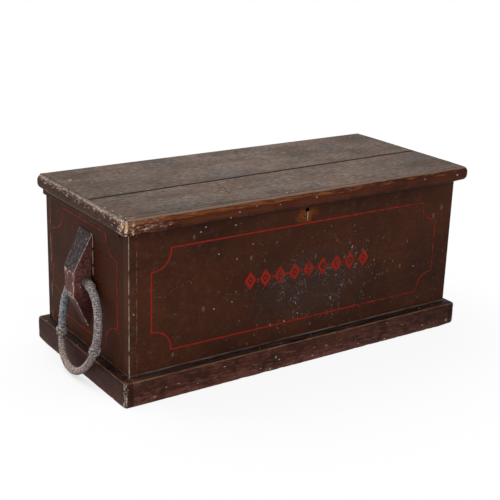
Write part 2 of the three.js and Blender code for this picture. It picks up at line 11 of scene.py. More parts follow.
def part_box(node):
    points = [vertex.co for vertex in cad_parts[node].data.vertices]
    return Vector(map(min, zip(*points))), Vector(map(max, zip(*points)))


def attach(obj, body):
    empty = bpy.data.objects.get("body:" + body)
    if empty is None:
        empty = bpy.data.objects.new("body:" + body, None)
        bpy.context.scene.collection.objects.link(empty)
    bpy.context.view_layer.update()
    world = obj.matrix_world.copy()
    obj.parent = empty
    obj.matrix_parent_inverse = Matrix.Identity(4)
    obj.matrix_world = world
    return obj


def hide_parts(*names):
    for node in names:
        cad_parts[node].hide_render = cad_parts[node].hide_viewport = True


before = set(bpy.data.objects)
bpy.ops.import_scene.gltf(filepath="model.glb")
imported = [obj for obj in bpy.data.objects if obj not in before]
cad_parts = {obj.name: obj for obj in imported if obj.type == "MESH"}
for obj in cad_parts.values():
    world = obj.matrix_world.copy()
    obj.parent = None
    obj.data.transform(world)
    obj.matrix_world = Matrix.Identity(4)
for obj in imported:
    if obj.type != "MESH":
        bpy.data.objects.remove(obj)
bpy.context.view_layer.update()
scene = bpy.context.scene
scene.view_settings.view_transform = "Standard"
print("frame loaded:", len(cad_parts), "solids")

# sizes are millimetres as on the drawing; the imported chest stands 1.5 mm further back
backShift = 1.5
chest = {"halfLong": 460, "halfDeep": 203, "top": 399, "lidTop": 420}  # outer faces of the boards


def place(x, y, z):
    return Vector((x, y + backShift, z)) / 1000


def hexLinear(code):
    channels = [int(code[i:i + 2], 16) / 255 for i in (1, 3, 5)]
    return [c / 12.92 if c <= 0.04045 else ((c + 0.055) / 1.055) ** 2.4 for c in channels] + [1.0]


# the node tree being made, and the coordinates that its patterns follow
bench = {"tree": None, "where": None}
# what the second word of a node's kind sets
modes = ("operation", "interpolation_type", "data_type", "noise_dimensions", "attribute_name")


# adds a node, such as "Math ADD". Inputs go to its sockets in order, settings to those that they name; each one
# is a plain value, a hex colour, or the node or socket to link
def add(kind, *inputs, **settings):
    kind, _, mode = kind.partition(" ")
    node = bench["tree"].nodes.new("ShaderNode" + kind)
    if mode:
        setattr(node, next(key for key in modes if hasattr(node, key)), mode)
    named = [(node.inputs[key], value) for key, value in settings.items()]
    for socket, value in [*zip([s for s in node.inputs if s.enabled], inputs), *named]:
        if isinstance(value, bpy.types.Node):
            value = next(s for s in value.outputs if s.enabled)
        if isinstance(value, bpy.types.NodeSocket):
            bench["tree"].links.new(value, socket)
        else:
            socket.default_value = hexLinear(value) if isinstance(value, str) else value
    return node


def openTree(owner):
    owner.use_nodes = True
    owner.node_tree.nodes.clear()
    bench["tree"] = owner.node_tree


def newMaterial(name):
    material = bpy.data.materials.new(name)
    openTree(material)
    bench["where"] = add("TexCoord").outputs["Object"]
    return material


# x, y and z of a place in metres, and of the way that its surface faces
def position():
    return add("SeparateXYZ", bench["where"]).outputs


def facing():
    return add("SeparateXYZ", add("TexCoord").outputs["Normal"]).outputs


def newPiece(name, mesh, body, material, replaces=()):
    mesh.materials.clear()
    mesh.materials.append(material)
    piece = bpy.data.objects.new(name, mesh)
    scene.collection.objects.link(piece)
    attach(piece, body)
    if replaces:
        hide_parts(*replaces)
    return piece


def meshFrom(name, points, faces, smooth=True):
    mesh = bpy.data.meshes.new(name)
    mesh.from_pydata([tuple(p) for p in points], [], faces)
    work = bmesh.new()
    work.from_mesh(mesh)
    bmesh.ops.recalc_face_normals(work, faces=work.faces)
    work.to_mesh(mesh)
    work.free()
    mesh.polygons.foreach_set("use_smooth", [smooth] * len(mesh.polygons))
    mesh.update()
    return mesh


viewpoint = {
    "stand": (-1458.93, -2070.92, 1069.26),
    "turn": 34.8947,  # degrees to the right of square on
    "tip": 18.6734,  # degrees down
    "roll": 1.8960,
    "lens": 78.0,
}

turn, tip, roll = (radians(viewpoint[k]) for k in ("turn", "tip", "roll"))
ahead = Vector((sin(turn) * cos(tip), cos(turn) * cos(tip), -sin(tip)))
level = Vector((cos(turn), -sin(turn), 0))
upright = level.cross(ahead)
across = level * cos(roll) + upright * sin(roll)
above = upright * cos(roll) - level * sin(roll)
stand = place(*viewpoint["stand"])
camera = bpy.data.objects.new("camera", bpy.data.cameras.new("camera"))
camera.data.lens = viewpoint["lens"]
camera.data.sensor_width = 36
camera.data.clip_end = 50
scene.collection.objects.link(camera)
camera.matrix_world = Matrix(
    [[across[i], above[i], -ahead[i], stand[i]] for i in range(3)] + [[0, 0, 0, 1]]
)
scene.camera = camera
print("camera set")


# patterns: sizes are in mm, places and bands in metres as the coordinates are
# a noise with lumps size mm across, or drawn out to length mm along one axis as grain and brush marks are
def grained(size, seed, detail, along=0, length=None):
    stretch = [1000 / size] * 3
    stretch[along] = 1000 / (length or size)
    scaled = add("VectorMath MULTIPLY", bench["where"], stretch)
    depth = seed if length else seed * 1000 / size
    return add("TexNoise 4D", scaled, depth, 1.0, detail, 0.6)


# lays one colour over another where a value goes from low to high, covering from least to most of it
def lay(under, over, value, low, high, most=1.0, least=0.0, within=None, ease="SMOOTHSTEP"):
    share = add("MapRange " + ease, value, low, high, least, most)
    if within is not None:
        share = add("Math MULTIPLY", share, within)
    return add("Mix RGBA", share, under, over)


layEvenly = partial(lay, ease="LINEAR")


# lays a colour over by a share that is there already, such as that of flecks or of a band
def layShare(under, over, share, most):
    return layEvenly(under, over, share, 0, 1, most)


# makes a colour darker or lighter, from least where the value is low to most where it is high
def toned(colour, value, low, high, least, most):
    tone = add("MapRange", value, low, high, least, most)
    return add("VectorMath SCALE", colour, tone)


# raises a pattern by something between least and most, as a place goes from low to high
def raised(pattern, at, low, high, least, most):
    lift = add("MapRange", at, low, high, least, most)
    return add("Math ADD", pattern, lift)


# patterns added up, each one times its weight, over a starting value or pattern
def summed(start, *weighted):
    for pattern, weight in weighted:
        start = add("Math MULTIPLY_ADD", pattern, weight, start)
    return start


# 1 where a value lies between low and high, fading over soft at both ends, and inside another band if given
def between(value, low, high, soft, within=None):
    rise, fall = (
        add("MapRange SMOOTHSTEP", value, outer, inner)
        for outer, inner in ((low - soft, low + soft), (high + soft, high - soft))
    )
    band = add("Math MULTIPLY", rise, fall)
    if within is not None:
        band = add("Math MULTIPLY", band, within)
    return band


# how far a place on a board's surface is from the board's nearest arris, in metres
def arrisGap(low, high):
    fromLow = add("VectorMath SUBTRACT", bench["where"], low)
    fromHigh = add("VectorMath SUBTRACT", high, bench["where"])
    x, y, z = add("SeparateXYZ", add("VectorMath MINIMUM", fromLow, fromHigh)).outputs
    least = add("Math MINIMUM", x, y)
    most = add("Math MAXIMUM", x, y)
    middle = add("Math MINIMUM", most, z)
    return add("Math MAXIMUM", least, middle)


# loose flecks about size mm across, one for some of the cells spacing mm apart; tall is how much taller than wide
def flecks(spacing, size, share, seed, tall=1.0):
    shifted = add("VectorMath MULTIPLY_ADD", bench["where"], (1, 1, 1 / tall), (seed, seed * 0.7, -seed))
    cells = add("TexVoronoi", shifted, Scale=1000 / spacing, Randomness=1.0).outputs
    kept = add("SeparateColor", cells["Color"]).outputs[0]
    reach = add("MapRange", kept, 1 - share, 1, 0, size / spacing)
    gap = add("Math SUBTRACT", reach, cells["Distance"])
    return add("MapRange SMOOTHSTEP", gap, 0, 0.25 * size / spacing)


# closes a finish: rough is a pattern, its low and high and the roughness at each; depth is the relief in mm
def closeShader(colour, rough, height, depth, settings):
    pattern, low, high, least, most = rough
    roughness = add("MapRange", pattern, low, high, least, most)
    bump = add("Bump", 1.0, depth / 1000, Height=height)
    shader = add("BsdfPrincipled", colour, Roughness=roughness, Normal=bump, **settings)
    add("OutputMaterial", shader)


# planed deal left bare and gone brown with age: growth rings as long loops, fine fibre, grey dirt in patches
bareDeal = {
    "early": "#a38460", "late": "#7d5c3c", "dirt": "#5c4834",
    "swirl": 75, "ringSpacing": 9, "loopLength": 900, "fibre": 1.6, "fibreLength": 60, "dirtPatch": 90,
}


def bareDealLayers(along, seed):
    swirl = grained(bareDeal["swirl"], seed, 1.5, along, bareDeal["loopLength"])
    rings = 2 * bareDeal["swirl"] / bareDeal["ringSpacing"]
    ring = add("Math PINGPONG", add("Math MULTIPLY", swirl, rings), 0.5)
    wood = lay(bareDeal["early"], bareDeal["late"], ring, 0.2, 0.5, 0.75)
    fibre = grained(bareDeal["fibre"], seed + 1, 3, along, bareDeal["fibreLength"])
    wood = toned(wood, fibre, 0.3, 0.7, 0.8, 1.2)
    soil = grained(bareDeal["dirtPatch"], seed + 2, 7)
    return lay(wood, bareDeal["dirt"], soil, 0.46, 0.72, 0.7), fibre, soil


def agedDeal(name, along, seed):
    material = newMaterial(name)
    wood, fibre, soil = bareDealLayers(along, seed)
    closeShader(wood, (soil, 0.3, 0.7, 0.62, 0.78), fibre, 0.2, {"Specular IOR Level": 0.2, "IOR": 1.5})
    return material


# old oil paint on planed pine: thick dark brown, brushed on, gone satin, the grain just showing through it,
# rubbed to a paler ground along the arrises
oilPaint = {
    "deep": "#2f180f", "warm": "#452414", "furrow": "#1f0f08", "bloom": "#4b332a", "ground": "#a1948d",
    "fleck": "#8d7f77", "footDust": "#6f6a6a", "endFleck": "#7a5a4c",
    "cloud": 170, "grainSpacing": 2.6, "grainLength": 190, "bloomSize": 15, "grit": 2.6,
    "fleckSpacing": 24, "fleckSize": 2.4,
    "shine": {"Specular IOR Level": 0.06, "IOR": 1.5},
    "bareInside": (0.4385, 0.1829),  # metres from the middle to where the unpainted inside begins
    "bareAbove": 0.3987,
}


def oilPaintLayers(along, seed):
    cloud = grained(oilPaint["cloud"], seed, 5)
    paint = layEvenly(oilPaint["deep"], oilPaint["warm"], cloud, 0.36, 0.64)
    grain = grained(oilPaint["grainSpacing"], seed + 3, 4, along, oilPaint["grainLength"])
    paint = lay(paint, oilPaint["furrow"], grain, 0.46, 0.33, 0.34)
    haze = grained(oilPaint["bloomSize"], seed + 5, 6)
    paint = lay(paint, oilPaint["bloom"], haze, 0.48, 0.72, 0.5)
    grit = grained(oilPaint["grit"], seed + 6, 3)
    paint = toned(paint, grit, 0.3, 0.7, 0.72, 1.28)
    dots = flecks(oilPaint["fleckSpacing"], oilPaint["fleckSize"], 0.3, seed)
    return layShare(paint, oilPaint["fleck"], dots, 0.8), grain, haze, dots


def paintedPine(name, along, low, high, seed, extras=None):
    material = newMaterial(name)
    paint, grain, haze, dots = oilPaintLayers(along, seed)
    if extras:
        paint = extras(paint)
    gap = arrisGap(low, high)
    ragged = grained(24, seed + 8, 10)
    reach = add("MapRange", ragged, 0.38, 0.66, -0.0002, 0.003)
    over = add("Math SUBTRACT", reach, gap)
    rubbed = add("MapRange SMOOTHSTEP", over, -0.0002, 0.0012, 0, 0.68)
    paint = add("Mix RGBA", rubbed, paint, oilPaint["ground"])
    # inside and along its top edge the carcass was never painted
    x, y, z = add("SeparateXYZ", add("VectorMath ABSOLUTE", bench["where"])).outputs
    short = [add("Math LESS_THAN", *pair) for pair in zip((x, y), oilPaint["bareInside"])]
    inside = add("Math MULTIPLY", *short)
    onTop = add("Math MULTIPLY", add("Math GREATER_THAN", z, oilPaint["bareAbove"]), 0.85)
    unpainted = add("Math MAXIMUM", inside, onTop)
    wood = bareDealLayers(along, seed + 30)[0]
    paint = add("Mix RGBA", unpainted, paint, wood)
    relief = summed(haze, (grain, 0.6), (dots, -0.8), (rubbed, -0.7))
    closeShader(paint, (haze, 0.3, 0.7, 0.5, 0.68), relief, 0.22, oilPaint["shine"])
    return material


# grey dust caught along the foot of a board, where the plinth's top meets it
def footDust(along, paint):
    z = position()[2]
    line = between(z, 0.0608, 0.0642, 0.0007)
    gathered = grained(6, 61.0, 5, along, 50)
    return layEvenly(paint, oilPaint["footDust"], gathered, 0.4, 0.58, 0.8, 0.1, line)


# what the front alone has: a bruised patch in the middle and a thumbed one round the keyhole
frontWear = {
    "bruise": (20, 185, 215, 100),  # middle x, z and half widths, mm
    "thumbed": (-2, 358, 40, 24),
    "seam": "#8b7d78", "bareWood": "#7a4118", "spot": "#7a6252", "bruiseTint": "#302826", "scuff": "#6b625d",
    "keyhole": "#1a100b", "scraped": "#e2d3ba",
    "keyholeWall": (6, 341, 377),  # half width, lowest and highest, mm
}


# a ragged patch, given by its middle and half widths, fading out at its edge
def wornPatch(patch, lump):
    x, z, wide, tall = patch
    centred = add("VectorMath MULTIPLY_ADD", bench["where"], (1000 / wide, 0, 1000 / tall), (-x / wide, 0, -z / tall))
    far = add("VectorMath LENGTH", centred)
    reach = summed(-0.8, (grained(lump, 41.0, 6), 1.6), (far, 1.0))
    return add("MapRange SMOOTHSTEP", reach, 1.0, 0.35, 0, 0.82)


def frontExtras(paint):
    x, y, z = position()
    paint = toned(paint, x, -0.22, -0.42, 1.0, 1.28)
    paint = footDust(0, paint)
    chafed = grained(4, 62.0, 6, 2, 14)
    arris = between(y, -0.204, -0.1998, 0.0006, between(x, -0.462, -0.4586, 0.0006))
    paint = layEvenly(paint, oilPaint["ground"], chafed, 0.42, 0.58, 0.95, within=arris)
    # the joint with the end board shows through beside the arris as a fine broken line
    seam = between(x, -0.442, -0.4405, 0.0005)
    paint = layEvenly(paint, frontWear["seam"], chafed, 0.47, 0.6, 0.6, within=seam)
    paint = layShare(paint, frontWear["spot"], flecks(25, 4.6, 0.6, 77.0, 1 / 0.6), 0.45)
    bruise = wornPatch(frontWear["bruise"], 26)
    paint = layShare(paint, frontWear["bruiseTint"], bruise, 0.62)
    scuffs = grained(1.5, 47.0, 4, 2, 5)
    paint = lay(paint, frontWear["scuff"], scuffs, 0.585, 0.68, within=bruise)
    thumbed = wornPatch(frontWear["thumbed"], 9)
    streak = grained(3, 43.0, 5, 0, 12)
    paint = layEvenly(paint, frontWear["bareWood"], streak, 0.4, 0.54, within=thumbed)
    # inside the keyhole the walls are painted near black as painted shade, but pale where the key has scraped its lip
    half, low, high = (size / 1000 for size in frontWear["keyholeWall"])
    face = (backShift - chest["halfDeep"]) / 1000
    hole = between(z, low, high, 0.0001, between(x, -half, half, 0.0001))
    deep = add("Math GREATER_THAN", y, face + 0.0002)
    hole = add("Math MULTIPLY", hole, deep)
    lip = between(z, 0.3445, 0.3655, 0.0008, between(y, -0.21, face + 0.0042, 0.0006))
    wall = add("Mix RGBA", lip, frontWear["keyhole"], frontWear["scraped"])
    return add("Mix RGBA", hole, paint, wall)


# the end boards' paint is made darker and redder than the front's: painted shade
def endExtras(paint):
    paint = footDust(1, paint)
    paint = add("VectorMath MULTIPLY", paint, (0.95, 0.76, 0.6))
    paint = toned(paint, grained(5, 29.0, 3), 0.34, 0.66, 0.55, 1.45)
    return layShare(paint, oilPaint["endFleck"], flecks(13, 2.8, 0.35, 31.0), 0.55)


# scuffed paint on the lid: the brown worn thin and dusty grey by use as a seat, matt, with dark grain lines
# and pale rubbed spots
lidPaint = {
    "dust": "#6c5e57", "rubbed": "#594a40", "cool": "#5d5854", "warm": "#6c574b", "grain": "#35281f",
    "tan": "#7f6450", "pale": "#8b7d75", "gap": "#23160f",
    # grit and grain are under 2 mm on the lid, drawn coarser so that they show
    "gritAcross": 5.0, "gritLength": 15, "grainSpacing": 6.5, "grainLength": 240,
    "joint": (-49, -31, 474), "jointHalf": 1.9,  # y at the left and right ends, and half length; half width
    "shine": {"Specular IOR Level": 0.06, "IOR": 1.5},
}


def scuffedLid(name, low, high, seed):
    material = newMaterial(name)
    x, y, z = position()
    cloud = grained(60, seed, 8, 0, 120)
    paint = lay(lidPaint["rubbed"], lidPaint["dust"], cloud, 0.36, 0.62)
    paint = lay(paint, lidPaint["warm"], grained(160, seed + 17, 4), 0.48, 0.62, 0.6)
    paint = lay(paint, lidPaint["cool"], grained(70, seed + 9, 7), 0.52, 0.64, 0.55)
    grain = grained(lidPaint["grainSpacing"], seed + 2, 5, 0, lidPaint["grainLength"])
    paint = lay(paint, lidPaint["grain"], grain, 0.44, 0.34, 0.6)
    smear = grained(14, seed + 4, 7, 0, 60)
    paint = lay(paint, lidPaint["pale"], smear, 0.56, 0.66, 0.45)
    patch = raised(grained(30, seed + 6, 8), x, -0.33, -0.47, 0.0, 0.2)
    paint = lay(paint, lidPaint["tan"], patch, 0.66, 0.8, 0.5)
    grit = grained(lidPaint["gritAcross"], seed + 11, 4, 0, lidPaint["gritLength"])
    paint = toned(paint, grit, 0.34, 0.66, 0.5, 1.5)
    paint = toned(paint, grained(130, seed + 15, 3), 0.38, 0.62, 0.84, 1.14)
    # the left end, and the right end and the rear a little, are darker
    paint = toned(paint, x, -0.08, -0.42, 1.02, 0.78)
    paint = toned(paint, x, 0.2, 0.46, 1.0, 0.84)
    paint = toned(paint, y, -0.04, 0.08, 1.0, 0.9)
    paint = layShare(paint, lidPaint["pale"], flecks(17, 4.4, 0.4, seed), 0.7)
    paint = layShare(paint, lidPaint["grain"], flecks(21, 5.0, 0.45, seed + 40), 0.75)
    # dirt along the open joint and round the edges
    y0, y1, half = lidPaint["joint"]
    slope, middle = (y1 - y0) / (2 * half), ((y0 + y1) / 2 + backShift) / 1000
    off = add("Math ABSOLUTE", summed(-middle, (x, -slope), (y, 1.0)))
    off = add("Math SUBTRACT", off, lidPaint["jointHalf"] / 1000)
    nearer = add("Math MINIMUM", off, add("Math ADD", arrisGap(low, high), 0.001))
    paint = lay(paint, lidPaint["gap"], summed(nearer, (smear, -0.004)), 0.0022, 0.0, 0.95)
    # the back edge is brown, the underside bare
    rear = (chest["halfDeep"] + backShift - 0.4) / 1000
    behind = add("Math GREATER_THAN", y, rear)
    paint = add("Mix RGBA", behind, paint, oilPaint["warm"])
    under = add("Math LESS_THAN", z, low[2] + 0.0145)
    below = add("Math SUBTRACT", under, behind)
    below.use_clamp = True
    wood = bareDealLayers(0, seed + 30)[0]
    paint = add("Mix RGBA", below, paint, wood)
    closeShader(paint, (smear, 0.3, 0.7, 0.6, 0.74), summed(smear, (grain, 1.2)), 0.35, lidPaint["shine"])
    return material


# paint handled through to the wood. "wear" is kept in the mesh, 0 on the flats and 1 on the most rubbed arrises
def handledPaint(name, along, seed, look, extras):
    material = newMaterial(name)
    wear = add("Attribute wear").outputs["Fac"]
    paint = lay(look["paint"], look["thin"], grained(look["cloud"], seed, 5), 0.4, 0.6)
    grain = grained(2.2, seed + 2, 4, along, 120)
    paint = lay(paint, look["dark"], grain, 0.48, 0.34, 0.6)
    smear = grained(7, seed + 4, 6, along, 40)
    paint = extras(look, paint, smear)
    paint = toned(paint, grained(2.4, seed + 6, 3), 0.3, 0.7, 0.72, 1.28)
    spread = look["ragged"]
    nicks = grained(look["nick"], seed + 12, 3)
    rubs = summed(smear, (nicks, 1.3))
    through = summed(-spread * 0.69, (rubs, spread * 0.6), (wear, 1.0))
    woody = add("MapRange SMOOTHSTEP", through, look["woodFrom"], look["woodFrom"] + 0.3)
    paint = add("Mix RGBA", woody, paint, look["wood"])
    paint = lay(paint, look["pale"], through, look["paleFrom"], look["paleFrom"] + 0.25)
    if "bareCorner" in look:
        paint = bareCorner(paint, seed, look["bareCorner"])
    dots = flecks(15, 1.9, 0.4, seed)
    paint = add("Mix RGBA", dots, paint, look["pale"])
    relief = add("Math ADD", grain, smear)
    shine = {"Specular IOR Level": look["specular"], "IOR": 1.5}
    closeShader(paint, (woody, 0, 1, 0.52, 0.7), relief, 0.3, shine)
    return material


# a corner knocked down to its torn wood, pale with filler in places
cornerWood = {"dark": "#4a2814", "light": "#cc9a70", "filler": "#e6d9cc"}


def bareCorner(paint, seed, corner):
    at, reach = corner
    off = add("VectorMath SUBTRACT", bench["where"], place(*at))
    off = add("VectorMath LENGTH", add("VectorMath MULTIPLY", off, (1, 1, 0.88)))
    away = summed(-0.07, (grained(9, 27.0, 9), 0.14), (off, 1.0))
    fibre = grained(4.5, seed + 19, 4, 2, 13)
    wood = layEvenly(cornerWood["dark"], cornerWood["light"], fibre, 0.43, 0.57)
    wood = layEvenly(wood, cornerWood["filler"], grained(6, 28.0, 3), 0.5, 0.58, 0.85)
    return lay(paint, wood, away, reach / 1000, reach / 1400)


nearCorner = ((-487, -230, 411), 22)  # the lid's nearest corner, and how far its paint is gone, mm
frontMouldingLook = {
    "paint": "#3b1a0e", "thin": "#4f2616", "dark": "#280f08", "wood": "#654431", "pale": "#9a8678",
    "band": "#4b200f", "bandLow": "#582e14", "ochreDark": "#542a12", "ochre": "#854d26", "scuff": "#7e6053",
    "foot": "#1d0f09", "dust": "#765f52",
    "cloud": 60, "ragged": 1.5, "nick": 5, "woodFrom": 0.42, "paleFrom": 0.9, "specular": 0.07,
    "bareCorner": nearCorner,
}
endMouldingLook = {
    "paint": "#392116", "thin": "#4b2b1d", "dark": "#29180f", "wood": "#6a5247", "pale": "#b3a195",
    "dust": "#8f7e72", "dustLow": "#614e43", "top": "#5f5048", "crumb": "#b9a698", "hollow": "#24170f",
    "arris": "#79584e",
    "cloud": 30, "ragged": 1.7, "nick": 8, "woodFrom": 0.36, "paleFrom": 0.82, "specular": 0.07,
    "bareCorner": nearCorner,
}
plinthLook = {
    "paint": "#3b1e16", "thin": "#4d2b22", "dark": "#26140e", "wood": "#76594b", "pale": "#a9968a",
    "kick": "#7b4f44", "dirt": "#241713", "ledge": "#130d0b", "ledgeDust": "#453733", "ledgeCorner": "#4e372f",
    "arris": "#8a6347", "ground": "#b3a39b",
    "cloud": 60, "ragged": 1.2, "nick": 6, "woodFrom": 0.6, "paleFrom": 0.95, "specular": 0.06,
}
cleatLook = {
    "paint": "#583230", "thin": "#68403d", "dark": "#35201d", "wood": "#87736c", "pale": "#cbbfb8",
    "slope": "#272122", "slopeDust": "#594d4a", "hands": "#8b6a58",
    "cloud": 20, "ragged": 0.9, "nick": 5, "woodFrom": 0.3, "paleFrom": 0.52, "specular": 0.08,
}


# dust thick along the top of a moulding, thinning out downwards
def dustyTop(z, smear, paint, rise, colour):
    patchy = summed(-1.0, (smear, 2.0))
    return lay(paint, colour, raised(patchy, z, *rise, 0.0, 1.0), 0.3, 0.85, 0.92)


# the front moulding from its top down: a dusty arris, an ochre band where the paint has gone, most of it
# towards the left, a dark line of dirt and a foot painted dark as painted shade
def mouldingExtras(look, paint, smear):
    x, y, z = position()
    streak = grained(3, 91.0, 9, 0, 34)
    mixed = raised(streak, x, -0.25, 0.25, 0.1, -0.1)
    height = summed(-0.006, (smear, 0.012), (z, 1.0))
    paint = layShare(paint, look["band"], between(height, 0.4025, 0.4085, 0.0015), 0.75)
    wood = layEvenly(look["ochreDark"], look["ochre"], streak, 0.42, 0.6)
    stripe = between(height, 0.4085, 0.4165, 0.001)
    paint = lay(paint, wood, mixed, 0.42, 0.55, 0.95, within=stripe)
    lower = between(height, 0.396, 0.4025, 0.001)
    paint = layEvenly(paint, look["bandLow"], mixed, 0.46, 0.6, 0.7, within=lower)
    # pinkish grey scuffs low down at the left end
    knocked = raised(grained(4, 97.0, 4, 0, 12), x, -0.28, -0.4, -0.2, 0.12)
    paint = lay(paint, look["scuff"], knocked, 0.62, 0.68, 0.8)
    # the foot's dark colour is painted shade
    paint = layEvenly(paint, look["foot"], height, 0.3925, 0.3895, 0.8)
    paint = dustyTop(z, smear, paint, (0.4155, 0.4185), look["dust"])
    return toned(paint, x, 0.1, 0.42, 1.0, 0.84)


# the end mouldings are rubbed pale along their rounded top and dark brown below
def endMouldingExtras(look, paint, smear):
    x, y, z = position()
    both = summed(0.0, (grained(4, 98.0, 5, 1, 14), 0.5), (smear, 0.5))
    both = raised(both, y, -0.15, 0.06, 0.0, -0.1)
    paint = dustyTop(z, both, paint, (0.4055, 0.416), look["dustLow"])
    paint = dustyTop(z, both, paint, (0.413, 0.4188), look["dust"])
    up = facing()[2]
    paint = lay(paint, look["top"], up, 0.84, 0.97, 0.85)
    crumbs = grained(5, 99.0, 4, 1, 11)
    edge = between(z, 0.409, 0.4175, 0.002)
    paint = lay(paint, look["crumb"], crumbs, 0.56, 0.64, 0.8, within=edge)
    paint = lay(paint, look["hollow"], crumbs, 0.49, 0.4, 0.75)
    # the lower arris has lost its paint to a thin pinkish line
    line = between(z, 0.3885, 0.3915, 0.0006)
    return layEvenly(paint, look["arris"], smear, 0.4, 0.56, 0.85, 0.15, line)


# the plinth: its top near black from dirt and painted shade, feet have scuffed the lower third, and its arris is
# rubbed to a thin ochre line
def plinthExtras(look, paint, smear):
    x, y, z = position()
    kicked = raised(grained(5, 93.0, 6, 0, 24), z, 0.032, 0.006, 0.0, 0.2)
    paint = lay(paint, look["kick"], kicked, 0.48, 0.74, 0.65)
    paint = lay(paint, look["dirt"], grained(26, 94.0, 6), 0.47, 0.66, 0.6)
    # the top face is painted near black, partly dirt and partly painted shade, with grey streaks of dust, and browner
    # at the near corner
    dirt = layEvenly(look["ledge"], look["ledgeDust"], grained(5, 92.0, 6, 0, 60), 0.4, 0.62)
    inFront = add("Math LESS_THAN", y, -0.2)
    dirt = layEvenly(dirt, look["ledgeCorner"], x, -0.33, -0.46, 0.7, within=inFront)
    up = facing()[2]
    paint = lay(paint, dirt, up, 0.75, 0.95, 0.92)
    line = between(z, 0.0557, 0.0573, 0.0004)
    paint = layEvenly(paint, look["arris"], smear, 0.36, 0.6, 1.0, 0.2, line)
    # the end lengths are painted darker than the long ones: painted shade
    out = add("Math ABSOLUTE", x)
    endShade = add("VectorMath MULTIPLY", paint, (0.56, 0.47, 0.44))
    paint = layEvenly(paint, endShade, out, 0.4605, 0.4625)
    paint = toned(paint, x, 0.1, 0.45, 1.0, 0.68)
    # every kick finds the corners, down to the pale ground
    mirrored = add("VectorMath ABSOLUTE", bench["where"])
    off = add("VectorMath MULTIPLY_ADD", mirrored, (1, 1, 0), (-0.482, -0.2235, 0))
    off = add("VectorMath LENGTH", off)
    over = summed(-0.0088, (grained(9, 95.5, 5), 0.03), (off, -1.0))
    return layEvenly(paint, look["ground"], over, -0.001, 0.003, 0.85)


# the cleats: sides plum brown, the sloping outer face blue-black with dust, tan where hands and rope rub
def cleatExtras(look, paint, smear):
    z = position()[2]
    sideways = add("Math ABSOLUTE", facing()[1])
    outer = add("MapRange SMOOTHSTEP", sideways, 0.75, 0.4)
    patch = grained(4, 95.0, 7, 2, 24)
    dusty = lay(look["slope"], look["slopeDust"], patch, 0.42, 0.66)
    paint = lay(paint, dusty, z, 0.251, 0.256, within=outer)
    face = add("Math MULTIPLY", add("MapRange", z, 0.266, 0.25), add("MapRange", z, 0.18, 0.2))
    face = add("Math MULTIPLY", face, outer)
    paint = lay(paint, look["hands"], patch, 0.5, 0.62, 0.35, within=face)
    paint = toned(paint, grained(4.5, 96.0, 4), 0.34, 0.66, 0.4, 1.6)
    # darker towards the cleat's foot, beside the rope: painted shade
    return toned(paint, z, 0.19, 0.17, 1.0, 0.62)


# mesh copies of the rubbed parts: voxels, rub and chip depths and chip sizes in mm, and the radii in mm that the
# outer arrises of the lengths and the corners between them are worn to
weathering = {
    "moulding": {"voxel": 2.0, "rub": 0.5, "chip": 1.3, "chipSize": 16, "seed": 3, "corner": 14, "nearCorner": 3.5},
    "plinth": {"voxel": 2.8, "rub": 0.5, "chip": 1.2, "chipSize": 22, "seed": 11, "corner": 10, "nearCorner": 5},
    "cleat": {"voxel": 1.4, "rub": 0.5, "chip": 1.5, "chipSize": 10, "seed": 19},
}
arrisRadius = {"lid_moulding_front": 4.5, "lid_moulding_left": 10, "lid_moulding_right": 10}
plainRadius = 2.5
cornerFade = 60


# pulls points in under the round arrises of the frame that a length belongs to
def rounded(points, node, kind):
    ring = [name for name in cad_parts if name.startswith(node.rsplit("_", 1)[0] + "_")]
    low = np.min([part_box(name)[0] for name in ring], axis=0) * 1000
    high = np.max([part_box(name)[1] for name in ring], axis=0) * 1000
    off = [np.minimum(points[:, k] - low[k], high[k] - points[:, k]) for k in (0, 1)]
    least = arrisRadius.get(node, plainRadius)
    nearest = (points[:, 0] < 0) & (points[:, 1] < 0)
    most = np.where(nearest, weathering[kind]["nearCorner"], weathering[kind]["corner"])
    radius = (least + (most - least) * np.clip(1 - np.hypot(*off) / cornerFade, 0, 1))[:, None]
    core = np.clip(points, low + radius, high - radius)
    away = points - core
    length = np.linalg.norm(away, axis=1)[:, None]
    return np.where(length > radius, core + away * radius / np.maximum(length, 1e-6), points)


# the node's mesh cut into voxels, with its doubled corner points joined first
def voxelMesh(node, voxel):
    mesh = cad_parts[node].data.copy()
    mesh.materials.clear()
    work = bmesh.new()
    work.from_mesh(mesh)
    bmesh.ops.remove_doubles(work, verts=work.verts, dist=1e-5)
    work.to_mesh(mesh)
    work.free()
    rough = bpy.data.objects.new(node + "_rough", mesh)
    scene.collection.objects.link(rough)
    remesh = rough.modifiers.new("voxels", "REMESH")
    remesh.mode = "VOXEL"
    remesh.voxel_size = voxel / 1000
    mesh = bpy.data.meshes.new_from_object(rough.evaluated_get(bpy.context.evaluated_depsgraph_get()))
    bpy.data.objects.remove(rough)
    return mesh


